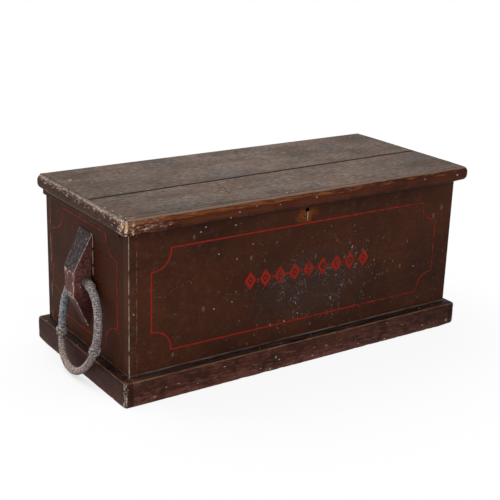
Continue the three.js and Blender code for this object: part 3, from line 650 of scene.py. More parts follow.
def weatheredMesh(node, kind):
    settings = weathering[kind]
    mesh = voxelMesh(node, settings["voxel"])
    count = len(mesh.vertices)
    points, normals = np.empty(count * 3), np.empty(count * 3)
    mesh.vertices.foreach_get("co", points)
    mesh.vertices.foreach_get("normal", normals)
    points, normals = points.reshape(-1, 3) * 1000, normals.reshape(-1, 3)
    ends = np.empty(len(mesh.edges) * 2, int)
    mesh.edges.foreach_get("vertices", ends)
    ends = ends.reshape(-1, 2)
    degree = np.bincount(ends.ravel(), minlength=count)[:, None]
    soft = points.copy()
    for _ in range(5):  # how far smoothing pulls a point in tells how sharp its arris is
        total = np.zeros_like(soft)
        np.add.at(total, ends[:, 0], soft[ends[:, 1]])
        np.add.at(total, ends[:, 1], soft[ends[:, 0]])
        soft = total / degree
    sharp = np.einsum("ij,ij->i", points - soft, normals)
    wear = np.clip(sharp / (0.75 * settings["voxel"]), 0, 1)
    shift = Vector((settings["seed"] * 7.3, -settings["seed"] * 3.1, settings["seed"]))
    cut = np.empty(count)
    for i, p in enumerate(points):
        uneven = noise.fractal((Vector(p) + shift) / 9, 1.0, 2.0, 3)
        chip = noise.noise((Vector(p) - shift) / settings["chipSize"])
        bite = max(0.0, min(1.0, (chip - 0.22) / 0.25))
        cut[i] = wear[i] * (settings["rub"] * (0.6 + 0.9 * uneven) + settings["chip"] * bite) + 0.12 * abs(uneven)
        wear[i] = min(1.0, wear[i] * (0.85 + 0.5 * bite))
    points -= normals * np.clip(cut, 0, None)[:, None]
    if "corner" in settings:
        points = rounded(points, node, kind)
    mesh.vertices.foreach_set("co", (points / 1000).ravel())
    mesh.attributes.new("wear", "FLOAT", "POINT").data.foreach_set("value", wear)
    mesh.polygons.foreach_set("use_smooth", [True] * len(mesh.polygons))
    mesh.update()
    mesh.name = node + "_worn"
    return mesh


# the node's corners; where an axis is named open, its two ends are joints and don't get rubbed
def nodeBox(node, open=()):
    low, high = (list(c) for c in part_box(node))
    for axis in open:
        low[axis] -= 1
        high[axis] += 1
    return tuple(low), tuple(high)


def dress(node, material):
    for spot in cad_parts[node].material_slots:
        spot.material = material


# becket ropes: old rope parcelled in canvas and served, stiff with paint and tar
becket = {
    "radius": 9.25,
    "lean": 8,  # degrees out of upright
    "bore": (472.5, 226),  # x and z of the hole in the cleat
    # y and distance down the leaning plane, round the ring from inside the cleat
    "route": [
        (-4, 0), (-18, 0), (-31, 0.2), (-47, 3.5), (-64, 13), (-80, 25), (-91, 39), (-99, 54),
        (-106, 76), (-108.5, 106), (-104, 133), (-93.5, 158), (-74, 182), (-53, 200), (-33, 210.5),
        (-9, 215), (17, 211), (39, 197.5), (51, 181), (57, 163), (60.5, 145), (63, 124), (64.5, 101),
        (63.5, 78), (58.5, 56), (50, 36), (40, 18), (31, 6.5), (22, 0.2), (10, 0),
    ],
    "rings": 560, "sides": 28,
    "servingTurns": 114,  # drawn 5.5 mm apart so that they show
    "wrap": 38,  # the canvas strip goes round once in so many mm
    "slim": 0.9, "slimBelow": 105,  # the lower part of the ring has stretched thinner
    "swellings": [(30, 13, 2.0), (49, 3.6, 2.2)],  # middle and half width along the rope, and rise, mm
    "frontKnot": (-103.6, 135), "backKnot": (60.2, 146),
}


# the drawing's closed curve: centripetal, through every point
def ringCurve(points, count):
    points = np.array(points, float)
    total = len(points)
    fine = []
    for i in range(total):
        p0, p1, p2, p3 = (points[(i + k) % total] for k in (-1, 0, 1, 2))
        d0, d1, d2 = (sqrt(np.linalg.norm(b - a)) for a, b in ((p0, p1), (p1, p2), (p2, p3)))
        t1 = ((p1 - p0) / d0 - (p2 - p0) / (d0 + d1) + (p2 - p1) / d1) * d1
        t2 = ((p2 - p1) / d1 - (p3 - p1) / (d1 + d2) + (p3 - p2) / d2) * d1
        for t in np.linspace(0, 1, 40, endpoint=False):
            fine.append(p1 + t1 * t + (3 * (p2 - p1) - 2 * t1 - t2) * t**2 + (2 * (p1 - p2) + t1 + t2) * t**3)
    fine = np.array(fine + [fine[0]])
    steps = np.concatenate([[0], np.cumsum(np.linalg.norm(np.diff(fine, axis=0), axis=1))])
    at = np.linspace(0, steps[-1], count, endpoint=False)
    return np.stack([np.interp(at, steps, fine[:, k]) for k in range(2)], 1), steps[-1]


# the rope's middle line with, at each point, the way in to the ring's middle; and the way out of its plane
def becketFrames(side, count):
    flat, length = ringCurve(becket["route"], count)
    lean = radians(becket["lean"])
    down = np.array([side * sin(lean), 0, -cos(lean)])
    start = np.array([side * becket["bore"][0], backShift, becket["bore"][1]])
    centres = start + np.outer(flat[:, 1], down) + np.outer(flat[:, 0], [0, 1, 0])
    tangents = np.roll(centres, -1, 0) - np.roll(centres, 1, 0)
    tangents /= np.linalg.norm(tangents, axis=1)[:, None]
    out = np.cross(down, [0, 1, 0])
    return centres, np.cross(tangents, out), out, length


# a closed tube: the faces between so many rings of so many points
def tubeFaces(rings, sides):
    faces, whole = [], rings * sides
    for i in range(rings):
        for j in range(sides):
            a, b = i * sides + j, i * sides + (j + 1) % sides
            faces.append((a, b, (b + sides) % whole, (a + sides) % whole))
    return faces


def becketMesh(name, side):
    rings, sides = becket["rings"], becket["sides"]
    centres, inward, out, length = becketFrames(side, rings)
    points, serving = [], []
    for i in range(rings):
        along = i * length / rings
        swell = sum(rise * exp(-((along - middle) / half) ** 2) for middle, half, rise in becket["swellings"])
        lowness = min(1.0, max(0.0, (becket["slimBelow"] - centres[i][2]) / 30))
        girth = becket["radius"] * (1 - (1 - becket["slim"]) * lowness)
        for j in range(sides):
            angle = 2 * pi * j / sides
            direction = cos(angle) * out + sin(angle) * inward[i]
            skin = Vector(centres[i] + direction * becket["radius"])
            lump = noise.fractal(skin / 7, 1.0, 2.0, 3)
            turns = becket["servingTurns"] * i / rings + angle / (2 * pi)
            serving.append(0.5 + 0.5 * sin(2 * pi * turns + 1.5 * lump))
            wrap = (along / becket["wrap"] - angle / (2 * pi)) % 1
            lap = 0.3 * max(0.0, 1 - wrap * 7)
            radius = girth + swell + 0.55 * lump + 0.4 * serving[-1] - 0.2 + lap
            points.append(Vector(centres[i] + direction * radius) / 1000)
    mesh = meshFrom(name, points, tubeFaces(rings, sides))
    mesh.attributes.new("serving", "FLOAT", "POINT").data.foreach_set("value", serving)
    return mesh, centres / 1000, length / 1000


# a three-strand turk's head with four bights, worked tight round the rope
turksHead = {
    "leads": 3, "bights": 4, "halfLength": 6.6, "strandWide": 3.0, "strandThick": 2.0,
    "rise": 0.9, "steps": 168, "sides": 10,
}


def turksHeadMesh(side, at, seed):
    k = turksHead
    count = 1200
    centres, inward, out, length = becketFrames(side, count)
    lean = radians(becket["lean"])
    target = np.array([
        side * (becket["bore"][0] + at[1] * sin(lean)), at[0] + backShift,
        becket["bore"][1] - at[1] * cos(lean),
    ])
    nearest = int(np.argmin(np.linalg.norm(centres - target, axis=1)))
    step = length / count

    def onRope(angle, shift, radius):
        i = (nearest + shift / step) % count
        a, b, f = int(i), (int(i) + 1) % count, i % 1
        middle = centres[a] * (1 - f) + centres[b] * f
        aside = inward[a] * (1 - f) + inward[b] * f
        return middle + (cos(angle) * out + sin(angle) * aside) * radius

    line = []
    for i in range(k["steps"]):
        s = 2 * pi * i / k["steps"]
        radius = becket["radius"] * 0.96 + k["strandThick"] - 0.4 + k["rise"] * sin(2 * k["bights"] * s)
        wander = 0.5 * sin(5 * s + seed)
        line.append((k["leads"] * s + seed, k["halfLength"] * cos(k["bights"] * s) + wander, radius))
    spine = np.array([onRope(*p) for p in line])
    core = np.array([onRope(p[0], p[1], 0) for p in line])
    points = []
    for i in range(k["steps"]):
        tangent = spine[(i + 1) % k["steps"]] - spine[i - 1]
        tangent /= np.linalg.norm(tangent)
        lift = spine[i] - core[i]
        lift -= tangent * lift.dot(tangent)
        lift /= np.linalg.norm(lift)
        aside = np.cross(tangent, lift)
        for j in range(k["sides"]):
            a = 2 * pi * j / k["sides"]
            twist = 1 + 0.07 * sin(i * 0.9 + 2 * a)  # the strand's own lay
            skin = spine[i] + twist * (aside * k["strandWide"] * cos(a) + lift * k["strandThick"] * sin(a))
            points.append(Vector(skin) / 1000)
    return meshFrom("turks_head", points, tubeFaces(k["steps"], k["sides"]))


# canvas parcelling: grey-brown and dusty, tarred blue-grey on the back leg, tan at the foot
ropeCanvas = {
    "dust": "#9b9190", "tar": "#2a2525", "tarred": "#919aa0", "tan": "#bba498", "thread": "#c4b9b4",
    "knot": "#9c8e88", "groove": "#3b3433", "underside": 0.5,
    "weave": 4.2,  # canvas threads are under 1 mm, drawn coarser so that they show
    "leather": "#574944", "leatherReach": 40,  # mm of the rope, from where it leaves the cleat, under leather
    "shine": {"Specular IOR Level": 0.15, "IOR": 1.5},
}


def servedCanvas(name, seed, knotted=False):
    material = newMaterial(name)
    x, y, z = position()
    cloud = grained(16, seed, 5)
    upper = add("MapRange", z, 0.075, 0.1)
    colour = layEvenly(ropeCanvas["dust"], ropeCanvas["tarred"], y, 0.02, 0.05, within=upper)
    if knotted:
        colour = add("Mix RGBA", 0.8, colour, ropeCanvas["knot"])
    else:
        colour = layEvenly(colour, ropeCanvas["tan"], z, 0.09, 0.04, 0.8)
    colour = lay(colour, ropeCanvas["tar"], cloud, 0.5, 0.34, 0.55)
    weave = grained(ropeCanvas["weave"], seed + 4, 3)
    colour = lay(colour, ropeCanvas["thread"], weave, 0.5, 0.66, 0.75)
    colour = lay(colour, ropeCanvas["tar"], weave, 0.5, 0.36, 0.85)
    if not knotted:
        # the grooves between the serving's turns are painted darker: painted shade
        turns = add("Attribute serving").outputs["Fac"]
        colour = lay(colour, ropeCanvas["groove"], turns, 0.42, 0.1, 0.62)
    # the rope's downward-facing side is painted darker in the tar colour: painted shade
    up = facing()[2]
    colour = layEvenly(colour, ropeCanvas["tar"], up, 0.25, -0.75, ropeCanvas["underside"])
    if not knotted:
        mirrored = add("CombineXYZ", add("Math ABSOLUTE", x), y, z)
        hole = place(becket["bore"][0], -20, becket["bore"][1])
        off = add("VectorMath DISTANCE", mirrored, hole)
        reach = ropeCanvas["leatherReach"] / 1000
        colour = lay(colour, ropeCanvas["leather"], off, reach * 0.72, reach * 0.62, 0.85)
    closeShader(colour, (cloud, 0.3, 0.7, 0.7, 0.88), weave, 0.7, ropeCanvas["shine"])
    return material


canvasFinish = servedCanvas("tarred_canvas_parcelling", 5.0)
knotFinish = servedCanvas("worn_hemp_knot_line", 9.0, knotted=True)
for sideName, side in (("left", -1), ("right", 1)):
    body = "becket_" + sideName
    mesh, line, length = becketMesh("becket_rope_" + sideName, side)
    rope = newPiece("becket_rope_" + sideName, mesh, body, canvasFinish, ["becket_" + sideName])
    for where, seed in (("front", 0.4), ("back", 2.1)):
        knotMesh = turksHeadMesh(side, becket[where + "Knot"], seed)
        newPiece(
            f"turks_head_{sideName}_{where}", knotMesh, body, knotFinish, [f"knot_{sideName}_{where}"]
        )
print("beckets laid,", round(length * 1000), "mm of rope in each")


# the boards keep their own CAD solids
low, high = nodeBox("front_board")
for node, along, seed, extras, box in (
    ("front_board", 0, 1.0, frontExtras, (low, (high[0], 1, high[2]))),
    ("back_board", 0, 12.0, None, nodeBox("back_board")),
    ("left_end_board", 1, 23.0, endExtras, nodeBox("left_end_board", [1])),
    ("right_end_board", 1, 34.0, endExtras, nodeBox("right_end_board", [1])),
    ("lid_batten_left", 1, 71.0, None, nodeBox("lid_batten_left")),
    ("lid_batten_right", 1, 72.0, None, nodeBox("lid_batten_right")),
):
    dress(node, paintedPine("oil_painted_pine_" + node, along, *box, seed, extras))
for node, seed in (("lid_front_board", 51.0), ("lid_back_board", 63.0)):
    dress(node, scuffedLid("scuffed_paint_" + node, *nodeBox(node), seed))
for node, along, seed in (
    ("bottom_board_1", 0, 81.0), ("bottom_board_2", 0, 82.0), ("bottom_board_3", 0, 83.0),
    ("till_bottom", 1, 84.0), ("till_side", 1, 85.0),
):
    dress(node, agedDeal("bare_deal_" + node, along, seed))
print("boards painted")

# mouldings, plinth and cleats, rubbed and chipped; the axis that each one's grain follows, and its look
for node, along, kind, look, extras, body, slot in (
    ("lid_moulding_front", 0, "moulding", frontMouldingLook, mouldingExtras, "lid", "worn_moulding"),
    ("lid_moulding_left", 1, "moulding", endMouldingLook, endMouldingExtras, "lid", "worn_moulding"),
    ("lid_moulding_right", 1, "moulding", endMouldingLook, endMouldingExtras, "lid", "worn_moulding"),
    ("plinth_front", 0, "plinth", plinthLook, plinthExtras, "chest", "brown_paint"),
    ("plinth_back", 0, "plinth", plinthLook, plinthExtras, "chest", "brown_paint"),
    ("plinth_left", 1, "plinth", plinthLook, plinthExtras, "chest", "brown_paint"),
    ("plinth_right", 1, "plinth", plinthLook, plinthExtras, "chest", "brown_paint"),
    ("cleat_left", 2, "cleat", cleatLook, cleatExtras, "chest", "cleat_paint"),
    ("cleat_right", 2, "cleat", cleatLook, cleatExtras, "chest", "cleat_paint"),
):
    seed = float(len(node) + weathering[kind]["seed"])
    finish = handledPaint("handled_paint_" + node, along, seed, look, extras)
    newPiece(node + "_worn", weatheredMesh(node, kind), body, finish, [node])
print("edges worn")


# painted lining and the motif in the middle of the front: red oil colour, hand drawn
lining = {
    "width": 3.5, "thick": 0.14, "wobble": 0.5, "step": 7,
    "red": "#8d2216", "faded": "#602519",
    # u runs along the panel, v is the height; corners are scooped, with a short tick at each end of the scoop
    "front": {"u": (-406, 406), "v": (104.5, 338.5), "scoops": (43, 43, 43, 43), "tick": 5},
    "end": {"u": (-151, 171), "v": (98, 358), "scoops": (50, 52, 58, 46), "tick": 4},
}
motif = {"middle": (12, 225.5), "lozenges": 9, "pitch": 41, "high": 40, "wide": 31, "stroke": 7.0, "dot": 4.2}
# the axis that each face looks along, which way, and how far out it lies
frontFace = ("y", -1, -chest["halfDeep"])
lidFace = ("z", 1, chest["lidTop"])


def scoopedPanel(shape):
    (left, right), (low, high), tick = shape["u"], shape["v"], shape["tick"]
    corners = ((left, low, 1, 1), (right, low, -1, 1), (right, high, -1, -1), (left, high, 1, -1))
    line = []
    for i, (u, v, du, dv) in enumerate(corners):
        r = shape["scoops"][i]
        arc = [(u, v + dv * (tick + r))]
        for k in range(13):
            a = radians(90 * k / 12)
            arc.append((u + du * (tick + r * sin(a)), v + dv * (tick + r * cos(a))))
        arc.append((u + du * (tick + r), v))
        line += arc if i % 2 == 0 else arc[::-1]
    return line


# a flat band along a line, mitred at its corners, added to the points and faces of a piece of flat work
def ribbon(work, line, width, seed, closed=True):
    points, faces = work
    fine = []
    count = len(line)
    for i in range(count if closed else count - 1):
        a, b = Vector(line[i]), Vector(line[(i + 1) % count])
        parts = max(1, round((b - a).length / lining["step"]))
        fine += [a.lerp(b, k / parts) for k in range(parts)]
    if not closed:
        fine.append(Vector(line[-1]))
    total = len(fine)
    base = len(points)
    for i, p in enumerate(fine):
        before = fine[i - 1] if closed or i else fine[i] * 2 - fine[i + 1]
        after = fine[(i + 1) % total] if closed or i < total - 1 else fine[i] * 2 - fine[i - 1]
        d0, d1 = (p - before).normalized(), (after - p).normalized()
        n0, n1 = Vector((-d0.y, d0.x)), Vector((-d1.y, d1.x))
        mitre = (n0 + n1).normalized()
        reach = min(1.6, 1 / max(0.3, mitre.dot(n0)))
        where = Vector((p.x / 60, p.y / 60, seed))
        shake = lining["wobble"] * noise.noise(where * 2)
        half = width / 2 * (1 + 0.28 * noise.noise(where * 5))
        outer, inner = p + mitre * (reach * half + shake), p - mitre * (reach * half - shake)
        points += [(outer, 0), (inner, 0), (inner, 1), (outer, 1)]
    for i in range(total if closed else total - 1):
        a, b = base + 4 * i, base + 4 * ((i + 1) % total)
        faces += [(a + k, a + (k + 1) % 4, b + (k + 1) % 4, b + k) for k in range(4)]
    if not closed:
        last = base + 4 * (total - 1)
        faces += [(base + 3, base + 2, base + 1, base), (last, last + 1, last + 2, last + 3)]


# adds a solid closed at both ends, made of rings that have as many points as each other
def joinRings(work, *rings):
    points, faces = work
    first, count = len(points), len(rings[0])
    for ring in rings:
        base = len(points)
        points += ring
        if base > first:
            for k in range(count):
                n = (k + 1) % count
                faces.append((base - count + k, base - count + n, base + n, base + k))
    faces += [tuple(range(first + count - 1, first - 1, -1)), tuple(range(base, base + count))]


# a thin slab between a lower and an upper outline
def slab(work, lower, upper):
    joinRings(work, [(p, 0) for p in lower], [(p, 1) for p in upper])


def disc(work, middle, radius, seed, count=10):
    rim = []
    for k in range(count):
        way = Vector((cos(2 * pi * k / count), sin(2 * pi * k / count)))
        r = radius * (1 + 0.25 * noise.noise(Vector((way.x, way.y, seed * 3.7))))
        rim.append(Vector(middle) + way * r)
    slab(work, rim, rim)


# lays flat work on a flat face, thick mm over it, as a piece
def facePiece(name, work, face, thick, body, finish):
    axis, side, level = face
    points = []
    for flat, lift in work[0]:
        off = level + side * (thick if lift else -0.03)
        spot = {"y": (flat.x, off, flat.y), "x": (off, flat.x, flat.y), "z": (flat.x, flat.y, off)}[axis]
        points.append(place(*spot))
    newPiece(name, meshFrom(name, points, work[1]), body, finish)


# lays flat work, drawn as seen from the left, on a worn mesh that faces left
def onWornMesh(name, work, worn, thick):
    wood = BVHTree.FromPolygons([v.co for v in worn.vertices], [tuple(p.vertices) for p in worn.polygons])
    points = []
    for flat, lift in work[0]:
        drawn = place(-600, flat.x, flat.y)
        spot, out = wood.ray_cast(drawn, Vector((1, 0, 0)))[:2]
        if spot is None:
            spot, out = wood.find_nearest(drawn)[:2]
        points.append(spot + out * (thick if lift else -0.3) / 1000)
    return meshFrom(name, points, work[1])


# red oil colour over the painted boards, thin in patches; fade is x from and to, and what it adds at each
def redLining(name, along, seed, fade, leastLeft=0.25, patchSize=20):
    material = newMaterial(name)
    paint, grain, haze, dots = oilPaintLayers(along, seed)
    if along == 1:
        paint = endExtras(paint)
    x = position()[0]
    patch = grained(patchSize, seed + 13, 6)
    fine = grained(3.2, seed + 15, 3)
    both = raised(summed(patch, (fine, 0.5)), x, *fade)
    kept = add("MapRange SMOOTHSTEP", both, 0.58, 0.76, leastLeft)
    red = add("Mix RGBA", kept, lining["faded"], lining["red"])
    paint = add("Mix RGBA", kept, paint, red)
    closeShader(paint, (haze, 0.3, 0.7, 0.5, 0.66), fine, 0.12, oilPaint["shine"])
    return material


lines = ([], [])
ribbon(lines, scoopedPanel(lining["front"]), lining["width"], 1.5)
frontRed = redLining("red_lining_front", 0, 1.0, (-0.1, 0.45, 0.08, -0.12))
facePiece("lining_front", lines, frontFace, lining["thick"], "chest", frontRed)
for sideName, side, seed in (("left", -1, 23.0), ("right", 1, 34.0)):
    lines = ([], [])
    ribbon(lines, scoopedPanel(lining["end"]), lining["width"], 3.5)
    endRed = redLining("red_lining_" + sideName, 1, seed, (-1, 1, -0.06, -0.06), 0.3)
    facePiece("lining_" + sideName, lines, ("x", side, side * chest["halfLong"]), lining["thick"], "chest", endRed)
marks = ([], [])
half, tall = (motif[size] / 2 - motif["stroke"] / 2 for size in ("wide", "high"))
for i in range(motif["lozenges"]):
    u = motif["middle"][0] + (i - (motif["lozenges"] - 1) / 2) * motif["pitch"]
    v = motif["middle"][1]
    ribbon(marks, [(u - half, v), (u, v - tall), (u + half, v), (u, v + tall)], motif["stroke"], i + 0.3)
    disc(marks, (u, v), motif["dot"], i)
    if i:
        disc(marks, (u - motif["pitch"] / 2, v), motif["dot"] * 0.8, i + 20)
motifRed = redLining("red_motif", 0, 1.0, (-0.17, 0.1, 0.14, 0.0), 0.06, 15)
facePiece("painted_lozenges", marks, frontFace, lining["thick"], "chest", motifRed)
print("lining drawn")


# losses in the paint: chips and scratches down to the pale ground, and nail heads
chips = {
    # the palest and darkest of each kind of loss
    "gesso": ("#b3a599", "#84756b"), "dullGesso": ("#74665d", "#4c3f38"), "dirt": ("#2e221c", "#1b120e"),
    "rubbedWood": ("#d2bcaa", "#7d6052"),
    "thick": 0.1, "lidThick": 0.05,
    # on the front: u, v, size mm
    "front": [
        (-195.5, 363.6, 2.6), (-285.2, 361.4, 2.4), (-238, 303.9, 2.6), (-190.3, 284.2, 2.4), (-247.8, 177, 2.6),
        (-190.4, 206.3, 2.4), (-213.9, 191.8, 2.0), (-200.4, 184.4, 2.2), (-347.7, 185.3, 2.0), (-283.9, 165.3, 1.6),
        (-272.8, 370.8, 2.6), (-182.4, 365.1, 1.8), (-148.5, 312.4, 2.2), (-112.1, 285.2, 2.0), (95.2, 195.5, 2.2),
        (111.8, 136.3, 1.8), (103.3, 168.6, 1.8), (-392, 310, 1.4), (212, 214, 2.2), (190, 200, 1.8), (300, 240, 1.4),
    ],
    "scratches": [
        (-397, 234, -373, 229), (-219, 207, -180, 199), (-354, 133, -329, 127.5), (406, 101.6, 440, 95),
        (-440, 262, -454, 255), (-360, 240, -290, 262), (60, 176, 66, 140), (75, 160, 84, 120),
        (-20, 240, -60, 252), (-456, 250, -443, 250), (-455, 262, -446, 262), (-457, 176, -444, 175),
        (-456, 160, -446, 160), (-457, 128, -443, 127), (-455, 118, -440, 118), (-441, 330, -441, 262),
        (-442, 200, -441, 130), (-456, 208, -448, 207),
    ],
    "scatter": {"count": 1900, "middle": (25, 190), "spread": (100, 55), "size": (0.9, 3.2), "strays": 90},
    # on the lid: a crack, and a long seam of dirt near the front edge
    "cracks": [
        [(-159, -63), (-165, -89), (-163, -101), (-173, -123), (-181, -155)],
        [(-446, -193), (-380, -196), (-300, -201), (-239, -204)],
    ],
    "crackWidth": 1.7,
    # u, v, size mm, stretch, angle
    "lid": [
        (-62, -205, 5, 1.4, 20), (-45, -203, 4, 1.2, 0), (-330, -60, 3.4, 2.2, 5), (-250, -52, 3, 2, 5),
        (-440, 113, 7, 1.6, 30), (-468, -150, 3, 4, 88), (-470, -190, 3, 5, 90), (-466, -207, 3, 4, 10),
        (-455, -212, 3, 5, 5), (-471, -120, 3, 4, 90), (120, -30, 4, 1.8, 0), (240, 110, 3.4, 1.4, 60),
        (330, -120, 4, 1.6, 20), (-100, 90, 3, 1.5, 0), (30, -150, 3, 1.4, 10),
    ],
    "leftMoulding": [
        (-6.5, 406, 3.6, 1.3, 0), (-55, 406, 3.4, 1.2, 10), (-179, 400, 3.4, 1.8, 20), (-123, 397, 3, 1.4, 0),
        (34, 409, 3.4, 4, 4), (75, 410.5, 2.0, 2.4, 0), (-24, 407, 1.8, 3, 0), (-98, 409, 2.6, 1.6, 40),
        (150, 410, 3.6, 3.6, 0), (-205, 400, 4, 2.2, 30), (-210, 405, 4, 2, 60), (-190, 408, 3, 2.6, 0),
        (112, 408, 1.8, 3, 0), (-146, 409, 2.8, 1.5, 0),
    ],
    "frontMoulding": [
        (-464, 396, 3.6, 2.4, 10), (-434, 398, 5, 2.6, 15), (5.4, 406, 3.8, 1.1, 0), (443.5, 404, 4.4, 1.6, 0),
        (-159, 408, 3.2, 1.2, 0), (-203, 401, 3.4, 1.2, 0), (-418, 402, 2.6, 3, 20), (-452, 404, 2.4, 2, 50),
        (-375, 399, 2.2, 3, 15), (335, 406, 2.8, 2, 0), (-96, 403, 2, 2, 0),
    ],
    "plinth": [
        (-410, 12, 3, 2.4, 10), (-350, 30, 2.4, 3, 0), (-230, 42, 2.4, 3, 5), (-130, 14, 2.6, 2.4, 0),
        (20, 12, 3, 2, 10), (-88, 33, 5, 1.4, 60), (-79, 25, 4, 1.4, 0), (-104, 6.5, 5.4, 1.1, 0),
        (246, 6, 4.6, 1.1, 0), (455, 14, 6, 1.2, 40), (371, 17, 4, 1.2, 0), (-300, 18, 3, 1.4, 0),
        (60, 30, 3, 1.6, 0), (160, 12, 3, 1.4, 0), (300, 34, 3, 1.3, 0),
    ],
    # where the lid's end board meets its moulding the filler shows as a pale line, x, y
    "lidScratches": [
        (-474.5, -212, -474.5, -150), (-474.5, -150, -474.5, -96), (-474.5, -92, -474, -40), (-473.5, 20, -474.5, 70),
    ],
    # the paint ridge where the left cleat meets its board, y, z
    "cleatRidge": [
        [(-39.4, 334), (-39.9, 319), (-39.2, 306)],
        [(-39.7, 301), (-39.1, 283), (-40, 269)],
        [(-39.2, 262), (-39.8, 251), (-39.4, 243)],
    ],
    "ridgeHigh": 1.4, "ridgeWidth": 1.8, "rubThick": 0.2,
    # rubbed lines on the left cleat's outer face, and how wide
    "cleat": [
        ([(18, 251), (11, 249.5), (4, 250.5)], 4.4),
        ([(-3, 249), (-10, 249), (-16, 250)], 3.2),
        ([(-21, 249.5), (-26, 246), (-26.5, 238)], 4.6),
        ([(16.5, 249), (16.8, 235)], 4.6),
        ([(3, 245), (2.5, 234)], 3.2),
        ([(-23.5, 228), (-22.6, 216), (-22.2, 206)], 5.0),
        ([(-20.5, 201), (-20, 193), (-16, 188), (-8, 186)], 6.0),
        ([(-6, 186), (4, 189), (11, 194), (14.5, 203)], 5.6),
        ([(-13, 199), (-5, 196.5), (3, 200)], 3.4),
    ],
}


# gesso and bare wood in a chip: dull, chalky, uneven
def paleLoss(name, tints, seed):
    material = newMaterial(name)
    patch = grained(3, seed, 4)
    paint = add("Mix RGBA", patch, tints[1], tints[0])
    closeShader(paint, (patch, 0.3, 0.7, 0.75, 0.9), patch, 0.1, {"Specular IOR Level": 0.1, "IOR": 1.5})
    return material


def flake(work, u, v, size, stretch, angle):
    outlines = []
    for _ in ("lower", "upper"):
        rim = []
        for k in range(7):
            a = 2 * pi * k / 7
            r = size / 2 * (0.7 + 0.6 * dice.random())
            x, y = r * stretch * cos(a), r * sin(a)
            rim.append(Vector((
                u + x * cos(angle) - y * sin(angle), v + x * sin(angle) + y * cos(angle),
            )))
        outlines.append(rim)
    slab(work, *outlines)


# a run of short slivers, broken here and there
def scratch(work, u0, v0, u1, v1):
    count = max(2, round(hypot(u1 - u0, v1 - v0) / 5))
    angle = atan2(v1 - v0, u1 - u0)
    for k in range(count):
        t = (k + dice.random()) / count
        if dice.random() < 0.75:
            flake(work, u0 + (u1 - u0) * t, v0 + (v1 - v0) * t, 1.1, 3.5, angle + dice.normal() * 0.1)


dice = np.random.RandomState(7)
bright, dim = ([], []), ([], [])
for u, v, size in chips["front"]:
    flake(bright if size > 2.1 else dim, u, v, size * 1.3, 1.3, dice.random() * 3)
for line in chips["scratches"]:
    scratch(dim, *line)
scatter = chips["scatter"]
smallest, largest = scatter["size"]
for _ in range(scatter["count"]):
    u, v = (m + s * dice.normal() for m, s in zip(scatter["middle"], scatter["spread"]))
    cluster = noise.noise(Vector((u / 30, v / 30, 5.5)))
    if abs(u) < 440 and 70 < v < 330 and cluster > 0.5 * dice.random() - 0.1:
        size = smallest + (largest - smallest) * dice.random() ** 2
        heap = bright if dice.random() < 0.05 else dim
        flake(heap, u, v, size, 1.0 + 2.2 * dice.random(), 1.57 + dice.normal() * 0.7)
for _ in range(scatter["strays"]):  # a few more over the whole face
    flake(dim, dice.uniform(-445, 445), dice.uniform(70, 380), 0.6 + 1.5 * dice.random(), 1.4, dice.random() * 3)
palestLoss = paleLoss("chipped_gesso_bright", chips["gesso"], 101.0)
dullLoss = paleLoss("chipped_gesso_dull", chips["dullGesso"], 102.0)
openSeam = paleLoss("dirt_in_crack", chips["dirt"], 103.0)
rubbedWood = paleLoss("rubbed_ash_cleat", chips["rubbedWood"], 104.0)
facePiece("front_chips_bright", bright, frontFace, chips["thick"], "chest", palestLoss)
facePiece("front_chips_dull", dim, frontFace, chips["thick"], "chest", dullLoss)

# the lid's crack and its flecks, and those on the left moulding, the plinth and the left cleat
crack = ([], [])
for points in chips["cracks"]:
    line = []
    for a, b in zip(points, points[1:]):
        a, b = Vector(a), Vector(b)
        parts = max(1, round((b - a).length / 4))
        line += [a.lerp(b, k / parts) + Vector(dice.normal(size=2)) * 0.7 for k in range(parts)]
    ribbon(crack, line + [Vector(points[-1])], chips["crackWidth"], 2.5, False)
facePiece("lid_cracks", crack, lidFace, chips["lidThick"], "lid", openSeam)
for name, face, body, listed in (
    ("lid_chips", lidFace, "lid", "lid"),
    ("lid_moulding_left_chips", ("x", -1, -484.9), "lid", "leftMoulding"),
    ("lid_moulding_front_chips", ("y", -1, -227.9), "lid", "frontMoulding"),
    ("plinth_front_chips", ("y", -1, -224.9), "chest", "plinth"),
):
    work = ([], [])
    for u, v, size, stretch, angle in chips[listed]:
        flake(work, u, v, size, stretch, radians(angle))
    thick = chips["thick"]
    if name == "lid_chips":
        thick = chips["lidThick"]
        for line in chips["lidScratches"]:
            scratch(work, *line)
    facePiece(name, work, face, thick, body, palestLoss)
rubs = ([], [])
for points, width in chips["cleat"]:
    line = []
    for a, b in zip(points, points[1:]):
        line += [Vector(a).lerp(Vector(b), k / 3) + Vector(dice.normal(size=2)) * 0.5 for k in range(3)]
    ribbon(rubs, line, width, 4.5, False)
cleatWorn = bpy.data.objects["cleat_left_worn"].data
newPiece("cleat_left_rubs", onWornMesh("cleat_left_rubs", rubs, cleatWorn, chips["rubThick"]), "chest", rubbedWood)
ridge = ([], [])
for points in chips["cleatRidge"]:
    ribbon(ridge, points, chips["ridgeWidth"], 6.5, False)
facePiece("cleat_left_ridge", ridge, ("x", -1, -chest["halfLong"]), chips["ridgeHigh"], "chest", palestLoss)
print("chips and scratches made")


# black iron: forged, with scale, the paint mostly gone and a little rust
ironwork = {
    "scale": "#2b2826", "bare": "#45403c", "rust": "#4a2c1b", "hammerMarks": 16, "skin": 3, "rustPatch": 22,
    "head": 4.0, "slot": 1.1,  # a screw head's radius and half its slot's width
    "hinges": {"left": -290, "right": 290},
    "strap": [(4, 158), (-4, 96), (4, 34), (-3, -28), (0, -72)],  # x from the strap's middle, and y
    "leaf": [(4, 372), (-4, 340), (3, 310), (0, 282)], "leafFace": 206,
    "case": [(-48, 335), (48, 335), (-48, 391), (48, 391)], "caseFace": -164,
}


